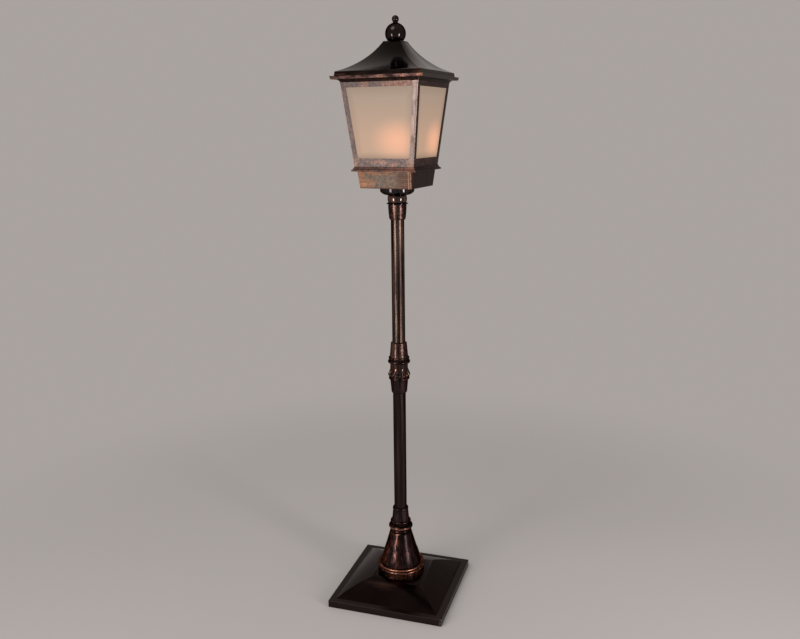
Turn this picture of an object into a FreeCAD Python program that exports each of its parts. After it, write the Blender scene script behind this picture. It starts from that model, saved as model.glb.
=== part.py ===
"""Lantern floor lamp: a square weighted base, a two-piece pole and a four-sided glass lantern.

Frame: +Z up, origin on the floor under the middle of the base, the front of the base faces -Y.
Millimetres. Every size is a cell of the sheet "Sizes"; the stack of heights is added up from it.
"""
import FreeCAD, Part

import math
import os

import Sketcher

doc = FreeCAD.newDocument("lantern_floor_lamp")

# ---------------------------------------------------------------- sizes

SIZES = {
    "Lamp": [
        ("lamp_height", 1700.0),
    ],
    "Fits": [
        ("thread_gap", 0.05),
        ("seat_gap", 0.1),
        ("bulb_gap", 0.06),
        ("hole_gap", 0.3),
    ],
    "Base": [
        ("base_half", 176.0),
        ("base_sheet", 1.5),
        ("felt_thick", 2.5),
        ("felt_margin", 3.0),
        ("cover_thick", 1.5),
        ("skirt_lift", 1.0),
        ("skirt_height", 21.0),
        ("rim_width", 19.0),
        ("pyramid_rise", 40.5),
        ("pyramid_swell", 5.6),
        ("plateau_half", 64.0),
        ("weight_radius", 115.0),
        ("weight_thick", 24.0),
        ("hub_radius", 16.0),
        ("recess_radius", 17.0),
        ("lead_channel_width", 9.0),
        ("lead_slack", 1.0),
        ("bushing_radius", 6.5),
        ("bushing_flange", 9.0),
        ("bushing_flange_thick", 1.8),
        ("bushing_length", 11.0),
        ("cord_hole_radius", 3.4),
        ("bushing_lift", 1.0),
        ("lead_radius", 2.5),
        ("lead_bend", 5.0),
    ],
    "Threaded pipes": [
        ("nipple_radius", 5.0),
        ("nipple_bore", 3.4),
        ("nut_across", 11.0),
        ("nut_height", 6.0),
        ("nipple_stub", 2.0),
        ("insert_height", 20.0),
    ],
    "Pedestal": [
        ("foot_ring_radius", 72.0),
        ("foot_ring_inner", 57.0),
        ("foot_ring_band", 18.5),
        ("foot_ring_shoulder", 4.5),
        ("foot_ring_neck", 67.4),
        ("foot_bead_height", 8.2),
        ("foot_bead_swell", 3.4),
        ("foot_ring_lip", 1.0),
        ("cone_foot_radius", 62.5),
        ("cone_waist_radius", 48.5),
        ("cone_waist_height", 46.0),
        ("cone_head_radius", 34.0),
        ("cone_head_height", 50.5),
        ("cone_rim_height", 2.5),
        ("cone_rim_radius", 31.8),
        ("cone_swell", 1.0),
        ("spun_sheet", 1.5),
        ("collar_foot_radius", 30.8),
        ("collar_bead_height", 8.8),
        ("collar_bead_swell", 1.7),
        ("collar_foot_height", 10.8),
        ("torus_height", 13.2),
        ("torus_swell", 6.0),
        ("collar_groove_radius", 29.6),
        ("collar_groove_height", 5.0),
        ("flange_height", 8.5),
        ("flange_swell", 1.8),
        ("flange_slope", 1.8),
        ("collar_bore", 20.0),
        ("web_thick", 5.0),
    ],
    "Pole": [
        ("tube_radius", 19.05),
        ("tube_wall", 1.2),
        ("lower_tube_length", 439.0),
        ("ferrule_foot_radius", 26.2),
        ("ferrule_neck_radius", 23.1),
        ("ferrule_height", 39.3),
        ("ferrule_lip_height", 6.5),
        ("ferrule_lip_swell", 1.0),
        ("collar_mouth_radius", 23.2),
        ("lower_collar_radius", 26.4),
        ("upper_collar_foot", 27.1),
        ("upper_collar_mouth", 23.4),
        ("lower_collar_height", 36.0),
        ("upper_collar_height", 42.0),
        ("mouth_chamfer", 3.2),
        ("mouth_chamfer_depth", 2.8),
        ("bead_seat_radius", 27.4),
        ("lower_bead_height", 11.5),
        ("lower_bead_band", 6.8),
        ("lower_bead_radius", 28.4),
        ("lower_bead_swell", 2.5),
        ("boss_flare_radius", 32.9),
        ("boss_waist_radius", 26.2),
        ("boss_core_radius", 28.0),
        ("boss_taper_height", 26.0),
        ("boss_waist_height", 15.0),
        ("lobe_count", 16.0),
        ("lobe_radius", 5.6),
        ("lobe_tip_radius", 3.4),
        ("lobe_length", 27.0),
        ("lobe_lift", 0.4),
        ("ring_bead_height", 8.5),
        ("ring_bead_swell", 3.6),
        ("ring_bead_radius", 29.4),
        ("ring_groove", 2.0),
        ("ring_top_bead_height", 8.5),
        ("ring_top_bead_swell", 2.2),
        ("ring_top_radius", 28.6),
        ("top_ferrule_height", 42.3),
        ("top_ferrule_foot", 23.2),
        ("top_ferrule_head", 26.0),
        ("top_ferrule_swell", 0.7),
        ("neck_ring_radius", 30.8),
        ("neck_ring_height", 5.6),
        ("neck_ring_edge", 1.2),
        ("neck_ring_foot", 26.4),
        ("neck_height", 21.0),
        ("neck_end_radius", 25.6),
        ("neck_swell", 1.9),
        ("cup_rim_radius", 48.4),
        ("cup_height", 22.0),
        ("cup_rim_height", 11.5),
        ("cup_foot_radius", 28.0),
        ("cup_swell", 3.0),
    ],
    "Lantern": [
        ("head_turn", -6.2),
        ("head_sheet", 1.2),
        ("box_foot_half", 77.1),
        ("box_top_half", 82.4),
        ("box_height", 46.3),
        ("ledge_lip_half", 95.2),
        ("ledge_lip_height", 3.8),
        ("ledge_crown_half", 89.0),
        ("ledge_height", 12.6),
        ("ledge_hollow", 1.4),
        ("ledge_inner", 79.5),
        ("frame_foot_half", 87.7),
        ("frame_top_half", 112.7),
        ("frame_height", 220.9),
        ("frame_sheet", 1.6),
        ("window_sill", 22.0),
        ("window_head", 13.4),
        ("stile_width", 13.8),
        ("glass_thick", 3.0),
        ("glass_gap", 0.3),
        ("glass_lap", 7.0),
        ("glass_head_lap", 7.0),
        ("clip_sheet", 1.0),
        ("clip_reach", 9.0),
        ("clip_height", 12.0),
        ("clip_offset", 30.0),
        ("crown_top_half", 120.0),
        ("crown_height", 7.5),
        ("crown_inner", 108.5),
        ("crown_hollow", 1.1),
    ],
    "Roof": [
        ("eave_foot_half", 131.5),
        ("eave_top_half", 133.9),
        ("eave_height", 8.4),
        ("eave_inner", 107.4),
        ("lug_width", 26.0),
        ("lug_depth", 12.0),
        ("fascia_half", 124.6),
        ("fascia_height", 11.7),
        ("roof_foot_half", 123.1),
        ("roof_rise", 79.8),
        ("roof_hollow", 11.3),
        ("roof_top_half", 25.1),
        ("roof_hole_radius", 4.0),
    ],
    "Finial": [
        ("ball_radius", 28.2),
        ("ball_seat", 19.9),
        ("ball_neck_radius", 7.2),
        ("tip_radius", 9.5),
        ("tip_neck_height", 3.6),
        ("tip_stud_radius", 3.0),
        ("tip_stud_length", 8.0),
        ("rod_radius", 3.0),
        ("rod_grip", 22.0),
    ],
    "Sockets": [
        ("can_radius", 25.0),
        ("can_height", 27.0),
        ("lid_height", 2.5),
        ("lid_hub_radius", 7.0),
        ("lid_hub_height", 6.0),
        ("arm_height", 13.0),
        ("arm_radius", 5.0),
        ("arm_bend", 8.0),
        ("arm_rise", 14.0),
        ("socket_reach", 54.0),
        ("socket_angle", 45.0),
        ("socket_cup_radius", 19.6),
        ("socket_cup_foot", 11.0),
        ("socket_cup_height", 13.0),
        ("socket_radius", 19.0),
        ("socket_height", 37.0),
        ("socket_floor", 6.0),
        ("socket_lip", 1.2),
    ],
    "Bulbs": [
        ("cap_radius", 13.2),
        ("cap_length", 27.0),
        ("cap_contact_radius", 4.5),
        ("cap_taper", 4.0),
        ("bulb_radius", 30.0),
        ("bulb_neck_radius", 13.6),
        ("bulb_shoulder_radius", 16.2),
        ("bulb_shoulder_height", 17.0),
        ("bulb_middle_height", 54.0),
        ("bulb_wall", 0.9),
        ("bulb_flare", 1.8),
    ],
}


class Size:
    """A length that knows its value and the sheet expression that it comes from."""

    def __init__(self, value, text):
        self.value = float(value)
        self.text = text

    @staticmethod
    def of(other):
        return other if isinstance(other, Size) else Size(other, repr(float(other)))

    def __add__(self, other):
        other = Size.of(other)
        return Size(self.value + other.value, "(%s + %s)" % (self.text, other.text))

    def __sub__(self, other):
        other = Size.of(other)
        return Size(self.value - other.value, "(%s - %s)" % (self.text, other.text))

    def __mul__(self, other):
        other = Size.of(other)
        return Size(self.value * other.value, "(%s * %s)" % (self.text, other.text))

    def __truediv__(self, other):
        other = Size.of(other)
        return Size(self.value / other.value, "(%s / %s)" % (self.text, other.text))


sheet = doc.addObject("Spreadsheet::Sheet", "Sizes")
size = {}
row = 0
for group, entries in SIZES.items():
    row += 1
    sheet.set("A%d" % row, group)
    for alias, value in entries:
        row += 1
        sheet.set("A%d" % row, alias)
        sheet.set("B%d" % row, repr(value))
        sheet.setAlias("B%d" % row, alias)
        size[alias] = Size(value, "Sizes.%s" % alias)
doc.recompute()
AXIS = Size(0.0, "0.0")
QUARTER_TURN_DEPTH = 1.0 - math.sqrt(0.5)
OVERSIZE = 1.25  # how far a cutting or crossing block outgrows what it crosses

# ---------------------------------------------------------------- how outlines are drawn


class Corner:
    """A corner of an outline. The edge that leaves it is straight, or bends by a depth (swell
    outwards, hollow inwards) or on a radius (ball outwards, bowl inwards)."""

    def __init__(self, across, up, swell=None, hollow=None, ball=None, bowl=None):
        self.across = Size.of(across)
        self.up = Size.of(up)
        self.swell = swell
        self.hollow = hollow
        self.ball = ball
        self.bowl = bowl

    def moved(self, inward, down):
        return Corner(self.across - inward, self.up - down, self.swell, self.hollow)

    def outwards(self):
        return self.swell is not None or self.ball is not None

    def radius_to(self, ahead):
        """The radius of the edge to the next corner, or None where it is straight."""
        if self.ball is not None or self.bowl is not None:
            return Size.of(self.ball if self.ball is not None else self.bowl)
        if self.swell is None and self.hollow is None:
            return None
        depth = Size.of(self.swell if self.swell is not None else self.hollow)
        run = ahead.across - self.across
        rise = ahead.up - self.up
        return ((run * run + rise * rise) / 4.0 + depth * depth) / (depth * 2.0)


def rise_to(radius, across):
    """How far a ball's surface at a distance from its axis stands from the ball's middle."""
    return Size(math.sqrt(radius.value ** 2 - across.value ** 2),
                "sqrt(%s ^ 2 - %s ^ 2)" % (radius.text, across.text))


def draw_outline(body, role, corners, mirrored=False):
    """Sketch a closed outline, every corner tied to the sheet; mirrored adds its left half."""
    sketch = body.newObject("Sketcher::SketchObject", body.Name + "_outline")
    plane = [part for part in body.Origin.OriginFeatures if part.Role == role][0]
    sketch.AttachmentSupport = (plane, [""])
    sketch.MapMode = "FlatFace"
    points = [(corner.across.value, corner.up.value) for corner in corners]
    given = len(corners)
    radii = [corner.radius_to(corners[(i + 1) % given]) for i, corner in enumerate(corners)]
    outwards = [corner.outwards() for corner in corners]
    if mirrored:
        points += [(-x, y) for x, y in reversed(points)]
        radii = radii[:-1] + [None] + radii[-2::-1] + [None]
        outwards = outwards[:-1] + [False] + outwards[-2::-1] + [False]
    count = len(points)
    ends = []
    for i in range(count):
        x0, y0 = points[i]
        x1, y1 = points[(i + 1) % count]
        if radii[i] is None:
            sketch.addGeometry(Part.LineSegment(FreeCAD.Vector(x0, y0, 0), FreeCAD.Vector(x1, y1, 0)))
            ends.append((1, 2))
            continue
        radius = radii[i].value
        side = 1.0 if outwards[i] else -1.0
        chord = math.hypot(x1 - x0, y1 - y0)
        reach = side * math.sqrt(max(radius * radius - chord * chord / 4.0, 0.0)) / chord
        centre = ((x0 + x1) / 2.0 - (y1 - y0) * reach, (y0 + y1) / 2.0 + (x1 - x0) * reach)
        first = math.atan2(y0 - centre[1], x0 - centre[0])
        last = math.atan2(y1 - centre[1], x1 - centre[0])
        if side < 0:
            first, last = last, first
        if last < first:
            last += 2.0 * math.pi
        circle = Part.Circle(FreeCAD.Vector(centre[0], centre[1], 0), FreeCAD.Vector(0, 0, 1), radius)
        sketch.addGeometry(Part.ArcOfCircle(circle, first, last))
        ends.append((1, 2) if side > 0 else (2, 1))
    for i in range(count):
        following = (i + 1) % count
        sketch.addConstraint(
            Sketcher.Constraint("Coincident", i, ends[i][1], following, ends[following][0]))
        if radii[i] is not None:
            index = sketch.addConstraint(Sketcher.Constraint("Radius", i, radii[i].value))
            sketch.setExpression("Constraints[%d]" % index, radii[i].text)
    for i, corner in enumerate(corners):
        for kind, length, axis in (("DistanceX", corner.across, -2), ("DistanceY", corner.up, -1)):
            if abs(length.value) < 1e-9:
                sketch.addConstraint(Sketcher.Constraint("PointOnObject", i, ends[i][0], axis))
                continue
            index = sketch.addConstraint(
                Sketcher.Constraint(kind, -1, 1, i, ends[i][0], length.value))
            sketch.setExpression("Constraints[%d]" % index, length.text)
    for i in range(given if mirrored else 0):
        twin = count - 1 - i
        sketch.addConstraint(
            Sketcher.Constraint("Symmetric", i, ends[i][0], twin, ends[twin][0], -2))
    return sketch


def turned(name, corners):
    """A body of revolution about Z; corners run anticlockwise as (radius, height)."""
    body = doc.addObject("PartDesign::Body", name)
    sketch = draw_outline(body, "XZ_Plane", corners)
    spin = body.newObject("PartDesign::Revolution", name + "_spin")
    spin.Profile = sketch
    spin.ReferenceAxis = (sketch, ["V_Axis"])
    spin.Angle = 360.0
    return body


def padded(name, role, corners):
    """A symmetrical outline padded both ways from the middle, right through the lamp."""
    body = doc.addObject("PartDesign::Body", name)
    sketch = draw_outline(body, role, corners, mirrored=True)
    pad = body.newObject("PartDesign::Pad", name + "_pad")
    pad.Profile = sketch
    pad.SideType = "Symmetric"
    pad.setExpression("Length", (size["base_half"] * 2 * OVERSIZE).text)
    return body


def combine(kind, name, base, tool):
    """A boolean of two objects: kind is Common, Cut or Fuse."""
    result = doc.addObject("Part::" + kind, name)
    result.Base = base
    result.Tool = tool
    return result


def hipped(name, corners):
    """A four-sided solid with mitred hips: the same outline run along X and along Y, in common."""
    along_y = padded(name + "_along_y", "XZ_Plane", corners)
    along_x = padded(name + "_along_x", "YZ_Plane", corners)
    return combine("Common", name, along_y, along_x)


def bound(thing, **lengths):
    """Tie properties of a primitive to the sheet."""
    for prop, length in lengths.items():
        thing.setExpression(prop.replace("__", "."), Size.of(length).text)
    return thing


def cylinder(name, radius, height, foot):
    """An upright cylinder on the pole's axis, standing at the height foot."""
    thing = doc.addObject("Part::Cylinder", name)
    return bound(thing, Radius=radius, Height=height, Placement__Base__z=foot)


def slab(name, half_x, half_y, height, foot):
    """A box centred on the pole's axis, standing at the height foot."""
    thing = doc.addObject("Part::Box", name)
    centre = {"Placement__Base__x": AXIS - half_x, "Placement__Base__y": AXIS - half_y}
    return bound(thing, Length=half_x * 2, Width=half_y * 2, Height=height,
                 Placement__Base__z=foot, **centre)


def turn_with_head(thing):
    """The lantern stands a few degrees round from the base."""
    thing.setExpression("Placement.Rotation.Angle", "Sizes.head_turn")
    return thing


NODES = []


def keep(name, thing):
    """Give a finished sub-part its own label."""
    thing.Label = name
    NODES.append(thing)
    return thing


# ---------------------------------------------------------------- base

NIPPLE_HOLE = size["nipple_radius"] + size["thread_gap"]
COVER_FOOT = size["felt_thick"]
COVER_TOP = COVER_FOOT + size["cover_thick"]
CORD_HEIGHT = COVER_TOP + size["bushing_lift"] + size["bushing_radius"]
SKIRT_TOP = size["skirt_lift"] + size["skirt_height"]
PLATEAU = SKIRT_TOP + size["pyramid_rise"]
INSIDE_HALF = size["base_half"] - size["base_sheet"]
RIM_HALF = size["base_half"] - size["rim_width"]

felt_half = INSIDE_HALF - size["felt_margin"]
keep("base_felt", slab("felt", felt_half, felt_half, size["felt_thick"], AXIS))

cover_half = INSIDE_HALF - size["hole_gap"]
keep("base_cover", slab("cover", cover_half, cover_half, size["cover_thick"], COVER_FOOT))

pan_outline = [
    Corner(size["base_half"], size["skirt_lift"]),
    Corner(size["base_half"], SKIRT_TOP),
    Corner(RIM_HALF, SKIRT_TOP, swell=size["pyramid_swell"]),
    Corner(size["plateau_half"], PLATEAU),
]
pan_inside = [corner.moved(size["base_sheet"], size["base_sheet"]) for corner in pan_outline]
pan_shell = combine("Cut", "pan_shell", hipped("pan_outer", pan_outline), hipped("pan_inner", pan_inside))
pan_hole = cylinder("pan_hole", NIPPLE_HOLE, size["base_sheet"] * 3, PLATEAU - size["base_sheet"] * 2)
cord_hole = doc.addObject("Part::Cylinder", "cord_hole")
cord_hole.Placement.Rotation = FreeCAD.Rotation(FreeCAD.Vector(1, 0, 0), -90)
bound(cord_hole, Radius=size["bushing_radius"] + size["seat_gap"], Height=size["base_half"],
      Placement__Base__y=size["base_half"] / 2, Placement__Base__z=CORD_HEIGHT)
pan_drilled = combine("Cut", "pan_drilled", pan_shell, pan_hole)
keep("base_pan", combine("Cut", "pan_finished", pan_drilled, cord_hole))

WEIGHT_TOP = COVER_TOP + size["weight_thick"]
NUT_TOP = CORD_HEIGHT + size["lead_bend"] + size["nipple_stub"] + size["nut_height"]
HUB_TOP = PLATEAU - size["base_sheet"]
weight_round = turned("weight_round", [
    Corner(size["recess_radius"], COVER_TOP),
    Corner(size["weight_radius"], COVER_TOP),
    Corner(size["weight_radius"], WEIGHT_TOP),
    Corner(size["hub_radius"], WEIGHT_TOP),
    Corner(size["hub_radius"], HUB_TOP),
    Corner(NIPPLE_HOLE, HUB_TOP),
    Corner(NIPPLE_HOLE, NUT_TOP),
    Corner(size["recess_radius"], NUT_TOP),
])
lead_channel = doc.addObject("Part::Box", "lead_channel")
channel_depth = CORD_HEIGHT + size["lead_radius"] + size["lead_slack"] - COVER_TOP
bound(lead_channel, Length=size["lead_channel_width"], Width=size["weight_radius"] * OVERSIZE,
      Height=channel_depth, Placement__Base__x=AXIS - size["lead_channel_width"] / 2,
      Placement__Base__z=COVER_TOP)
keep("base_weight", combine("Cut", "weight_cut", weight_round, lead_channel))


def nut(name, foot):
    """A hexagon nut on a threaded pipe."""
    blank = doc.addObject("Part::Prism", name + "_blank")
    blank.Polygon = 6
    bound(blank, Circumradius=size["nut_across"], Height=size["nut_height"], Placement__Base__z=foot)
    hole = cylinder(name + "_hole", NIPPLE_HOLE, size["nut_height"] * 2, foot - size["nut_height"] / 2)
    return combine("Cut", name + "_cut", blank, hole)


def pipe(name, foot, top):
    """A threaded pipe, shown by its outside and its bore."""
    return turned(name, [
        Corner(size["nipple_bore"], foot),
        Corner(size["nipple_radius"], foot),
        Corner(size["nipple_radius"], top),
        Corner(size["nipple_bore"], top),
    ])


BASE_NUT = NUT_TOP - size["nut_height"]
keep("base_nut", nut("base_nut", BASE_NUT))

bushing_start = size["base_half"] - size["bushing_length"]
bushing = turned("bushing_round", [
    Corner(size["cord_hole_radius"], bushing_start),
    Corner(size["bushing_radius"], bushing_start),
    Corner(size["bushing_radius"], size["base_half"]),
    Corner(size["bushing_flange"], size["base_half"]),
    Corner(size["bushing_flange"] - size["bushing_flange_thick"] / 2,
           size["base_half"] + size["bushing_flange_thick"]),
    Corner(size["cord_hole_radius"], size["base_half"] + size["bushing_flange_thick"]),
])
bushing.Placement.Rotation = FreeCAD.Rotation(FreeCAD.Vector(1, 0, 0), -90)
keep("cord_bushing", bound(bushing, Placement__Base__z=CORD_HEIGHT))

# ---------------------------------------------------------------- pedestal

RING_FOOT = PLATEAU
SHOULDER = RING_FOOT + size["foot_ring_band"]
BEAD_FOOT = SHOULDER + size["foot_ring_shoulder"]
BEAD_TOP = BEAD_FOOT + size["foot_bead_height"]
RING_TOP = BEAD_TOP + size["foot_ring_lip"]
keep("foot_ring", turned("foot_ring", [
    Corner(size["foot_ring_inner"], RING_FOOT),
    Corner(size["foot_ring_radius"], RING_FOOT),
    Corner(size["foot_ring_radius"], SHOULDER, swell=size["foot_ring_shoulder"] / 4),
    Corner(size["foot_ring_neck"], BEAD_FOOT, swell=size["foot_bead_swell"]),
    Corner(size["foot_ring_neck"], BEAD_TOP),
    Corner(size["cone_foot_radius"] + size["foot_ring_lip"], BEAD_TOP),
    Corner(size["cone_foot_radius"] + size["foot_ring_lip"], RING_TOP),
    Corner(size["foot_ring_inner"], RING_TOP),
]))

CONE_WAIST = RING_TOP + size["cone_waist_height"]
CONE_HEAD = CONE_WAIST + size["cone_head_height"]
CONE_TOP = CONE_HEAD + size["cone_rim_height"]
wall = size["spun_sheet"]
keep("pedestal_cone", turned("pedestal_cone", [
    Corner(size["cone_foot_radius"] - wall, RING_TOP),
    Corner(size["cone_foot_radius"], RING_TOP, swell=size["cone_swell"]),
    Corner(size["cone_waist_radius"], CONE_WAIST),
    Corner(size["cone_head_radius"], CONE_HEAD),
    Corner(size["cone_rim_radius"], CONE_TOP),
    Corner(NIPPLE_HOLE, CONE_TOP),
    Corner(NIPPLE_HOLE, CONE_TOP - wall),
    Corner(size["cone_rim_radius"] - wall, CONE_TOP - wall),
    Corner(size["cone_head_radius"] - wall, CONE_HEAD - wall),
    Corner(size["cone_waist_radius"] - wall, CONE_WAIST, hollow=size["cone_swell"]),
]))

TORUS_FOOT = CONE_TOP + size["collar_foot_height"]
TORUS_TOP = TORUS_FOOT + size["torus_height"]
FLANGE_FOOT = TORUS_TOP + size["collar_groove_height"]
FLANGE_TOP = FLANGE_FOOT + size["flange_height"]
COLLAR_TOP = FLANGE_TOP + size["flange_slope"]
keep("pedestal_collar", turned("pedestal_collar", [
    Corner(size["collar_bore"], CONE_TOP),
    Corner(size["collar_foot_radius"], CONE_TOP, swell=size["collar_bead_swell"]),
    Corner(size["collar_foot_radius"], CONE_TOP + size["collar_bead_height"]),
    Corner(size["collar_foot_radius"], TORUS_FOOT, swell=size["torus_swell"]),
    Corner(size["collar_foot_radius"], TORUS_TOP),
    Corner(size["collar_groove_radius"], TORUS_TOP),
    Corner(size["collar_groove_radius"], FLANGE_FOOT, swell=size["flange_swell"]),
    Corner(size["collar_groove_radius"], FLANGE_TOP),
    Corner(size["ferrule_foot_radius"], COLLAR_TOP),
    Corner(NIPPLE_HOLE, COLLAR_TOP),
    Corner(NIPPLE_HOLE, COLLAR_TOP - size["web_thick"]),
    Corner(size["collar_bore"], COLLAR_TOP - size["web_thick"]),
]))

TUBE_MOUTH = size["tube_radius"] + size["seat_gap"]
FERRULE_TOP = COLLAR_TOP + size["ferrule_height"]
LOWER_TUBE_FOOT = COLLAR_TOP + size["web_thick"]
LIP_FOOT = FERRULE_TOP - size["ferrule_lip_height"]
keep("lower_ferrule", turned("lower_ferrule", [
    Corner(NIPPLE_HOLE, COLLAR_TOP),
    Corner(size["ferrule_foot_radius"], COLLAR_TOP),
    Corner(size["ferrule_neck_radius"], LIP_FOOT, swell=size["ferrule_lip_swell"]),
    Corner(size["ferrule_neck_radius"], FERRULE_TOP),
    Corner(TUBE_MOUTH, FERRULE_TOP),
    Corner(TUBE_MOUTH, LOWER_TUBE_FOOT),
    Corner(NIPPLE_HOLE, LOWER_TUBE_FOOT),
]))

# ---------------------------------------------------------------- pole


def tube(name, foot, length):
    """A steel tube of the pole."""
    return turned(name, [
        Corner(size["tube_radius"] - size["tube_wall"], foot),
        Corner(size["tube_radius"], foot),
        Corner(size["tube_radius"], foot + length),
        Corner(size["tube_radius"] - size["tube_wall"], foot + length),
    ])


def insert(name, foot):
    """The threaded plug pressed into the end of a tube."""
    return turned(name, [
        Corner(NIPPLE_HOLE, foot),
        Corner(size["tube_radius"] - size["tube_wall"], foot),
        Corner(size["tube_radius"] - size["tube_wall"], foot + size["insert_height"]),
        Corner(NIPPLE_HOLE, foot + size["insert_height"]),
    ])


LOWER_TUBE_TOP = LOWER_TUBE_FOOT + size["lower_tube_length"]
keep("lower_tube", tube("lower_tube", LOWER_TUBE_FOOT, size["lower_tube_length"]))
keep("lower_tube_insert", insert("lower_tube_insert", LOWER_TUBE_FOOT))
keep("lower_tube_plug", insert("lower_tube_plug", LOWER_TUBE_TOP - size["insert_height"]))
BASE_PIPE_TOP = LOWER_TUBE_FOOT + size["insert_height"]
keep("base_pipe", pipe("base_pipe", BASE_NUT - size["nipple_stub"], BASE_PIPE_TOP))

LOWER_COLLAR_TOP = LOWER_TUBE_TOP + size["web_thick"]
LOWER_COLLAR_FOOT = LOWER_COLLAR_TOP - size["lower_collar_height"]
keep("lower_collar", turned("lower_collar", [
    Corner(TUBE_MOUTH, LOWER_COLLAR_FOOT - size["mouth_chamfer_depth"]),
    Corner(size["collar_mouth_radius"] - size["mouth_chamfer"] / 2,
           LOWER_COLLAR_FOOT - size["mouth_chamfer_depth"]),
    Corner(size["collar_mouth_radius"], LOWER_COLLAR_FOOT),
    Corner(size["lower_collar_radius"], LOWER_COLLAR_TOP),
    Corner(NIPPLE_HOLE, LOWER_COLLAR_TOP),
    Corner(NIPPLE_HOLE, LOWER_TUBE_TOP),
    Corner(TUBE_MOUTH, LOWER_TUBE_TOP),
]))

BEAD_LOW = LOWER_COLLAR_TOP + (size["lower_bead_height"] - size["lower_bead_band"]) / 2
BEAD_HIGH = BEAD_LOW + size["lower_bead_band"]
BOSS_FOOT = LOWER_COLLAR_TOP + size["lower_bead_height"]
keep("lower_bead", turned("lower_bead", [
    Corner(NIPPLE_HOLE, LOWER_COLLAR_TOP),
    Corner(size["bead_seat_radius"], LOWER_COLLAR_TOP),
    Corner(size["lower_bead_radius"], BEAD_LOW, swell=size["lower_bead_swell"]),
    Corner(size["lower_bead_radius"], BEAD_HIGH),
    Corner(size["bead_seat_radius"], BOSS_FOOT),
    Corner(NIPPLE_HOLE, BOSS_FOOT),
]))

WAIST_FOOT = BOSS_FOOT + size["boss_taper_height"]
BOSS_TOP = WAIST_FOOT + size["boss_waist_height"]
boss = turned("fluted_boss", [
    Corner(NIPPLE_HOLE, BOSS_FOOT),
    Corner(size["boss_core_radius"], BOSS_FOOT),
    Corner(size["boss_waist_radius"], WAIST_FOOT),
    Corner(size["boss_waist_radius"], BOSS_TOP),
    Corner(NIPPLE_HOLE, BOSS_TOP),
])
doc.recompute()
core_volume = boss.Shape.Volume

# one lobe is a tapered pill turned about its own leaning axis; the pattern sets it round the boss
lobe_sketch = draw_outline(boss, "XZ_Plane", [
    Corner(AXIS, AXIS, ball=size["lobe_radius"]),
    Corner(size["lobe_radius"], size["lobe_radius"]),
    Corner(size["lobe_tip_radius"], size["lobe_length"] - size["lobe_tip_radius"],
           ball=size["lobe_tip_radius"]),
    Corner(AXIS, size["lobe_length"]),
])
lean = "atan((Sizes.boss_flare_radius - Sizes.boss_waist_radius) / Sizes.boss_taper_height)"
lobe_sketch.setExpression("AttachmentOffset.Rotation.Angle", lean)
lobe_sketch.setExpression(
    "AttachmentOffset.Base.x",
    "Sizes.boss_flare_radius - Sizes.lobe_radius * (1 - sin(%s))" % lean)
lobe_sketch.setExpression("AttachmentOffset.Base.y", (BOSS_FOOT + size["lobe_lift"]).text)
lobe = boss.newObject("PartDesign::Revolution", "lobe")
lobe.Profile = lobe_sketch
lobe.ReferenceAxis = (lobe_sketch, ["V_Axis"])
lobe.Angle = 360.0
doc.recompute()
lobes = boss.newObject("PartDesign::PolarPattern", "lobes")
lobes.Originals = [lobe]
lobes.Axis = ([part for part in boss.Origin.OriginFeatures if part.Role == "Z_Axis"][0], [""])
lobes.Angle = 360.0
lobes.setExpression("Occurrences", "Sizes.lobe_count")
boss.Tip = lobes
keep("fluted_boss", boss)

RING_BEAD_TOP = BOSS_TOP + size["ring_bead_height"]
TOP_BEAD_FOOT = RING_BEAD_TOP + size["ring_groove"]
TOP_BEAD_TOP = TOP_BEAD_FOOT + size["ring_top_bead_height"]
keep("coupling_ring", turned("coupling_ring", [
    Corner(NIPPLE_HOLE, BOSS_TOP),
    Corner(size["ring_bead_radius"], BOSS_TOP, swell=size["ring_bead_swell"]),
    Corner(size["ring_bead_radius"], RING_BEAD_TOP),
    Corner(size["ring_top_radius"], RING_BEAD_TOP),
    Corner(size["ring_top_radius"], TOP_BEAD_FOOT, swell=size["ring_top_bead_swell"]),
    Corner(size["ring_top_radius"], TOP_BEAD_TOP),
    Corner(NIPPLE_HOLE, TOP_BEAD_TOP),
]))

UPPER_TUBE_FOOT = TOP_BEAD_TOP + size["web_thick"]
UPPER_COLLAR_TOP = TOP_BEAD_TOP + size["upper_collar_height"]
keep("upper_collar", turned("upper_collar", [
    Corner(NIPPLE_HOLE, TOP_BEAD_TOP),
    Corner(size["upper_collar_foot"], TOP_BEAD_TOP),
    Corner(size["upper_collar_mouth"], UPPER_COLLAR_TOP),
    Corner(TUBE_MOUTH, UPPER_COLLAR_TOP + size["mouth_chamfer_depth"]),
    Corner(TUBE_MOUTH, UPPER_TUBE_FOOT),
    Corner(NIPPLE_HOLE, UPPER_TUBE_FOOT),
]))

# the head's own heights set where the upper tube has to end for the lamp's whole height
BALL_SEAT_DROP = rise_to(size["ball_radius"], size["ball_seat"])
BALL_NECK_RISE = rise_to(size["ball_radius"], size["ball_neck_radius"])
TIP_NECK_DROP = rise_to(size["tip_radius"], size["ball_neck_radius"])
NECK_AND_CUP = size["web_thick"] + size["neck_ring_height"] + size["neck_height"] + size["cup_height"]
LANTERN = size["box_height"] + size["ledge_height"] + size["frame_height"] + size["crown_height"]
ROOF = size["eave_height"] + size["fascia_height"] + size["roof_rise"]
FINIAL = BALL_SEAT_DROP + BALL_NECK_RISE + size["tip_neck_height"] + TIP_NECK_DROP + size["tip_radius"]
UPPER_TUBE_TOP = size["lamp_height"] - (NECK_AND_CUP + LANTERN + ROOF + FINIAL)
keep("upper_tube", tube("upper_tube", UPPER_TUBE_FOOT, UPPER_TUBE_TOP - UPPER_TUBE_FOOT))
keep("upper_tube_insert", insert("upper_tube_insert", UPPER_TUBE_FOOT))
keep("upper_tube_plug", insert("upper_tube_plug", UPPER_TUBE_TOP - size["insert_height"]))
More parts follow.
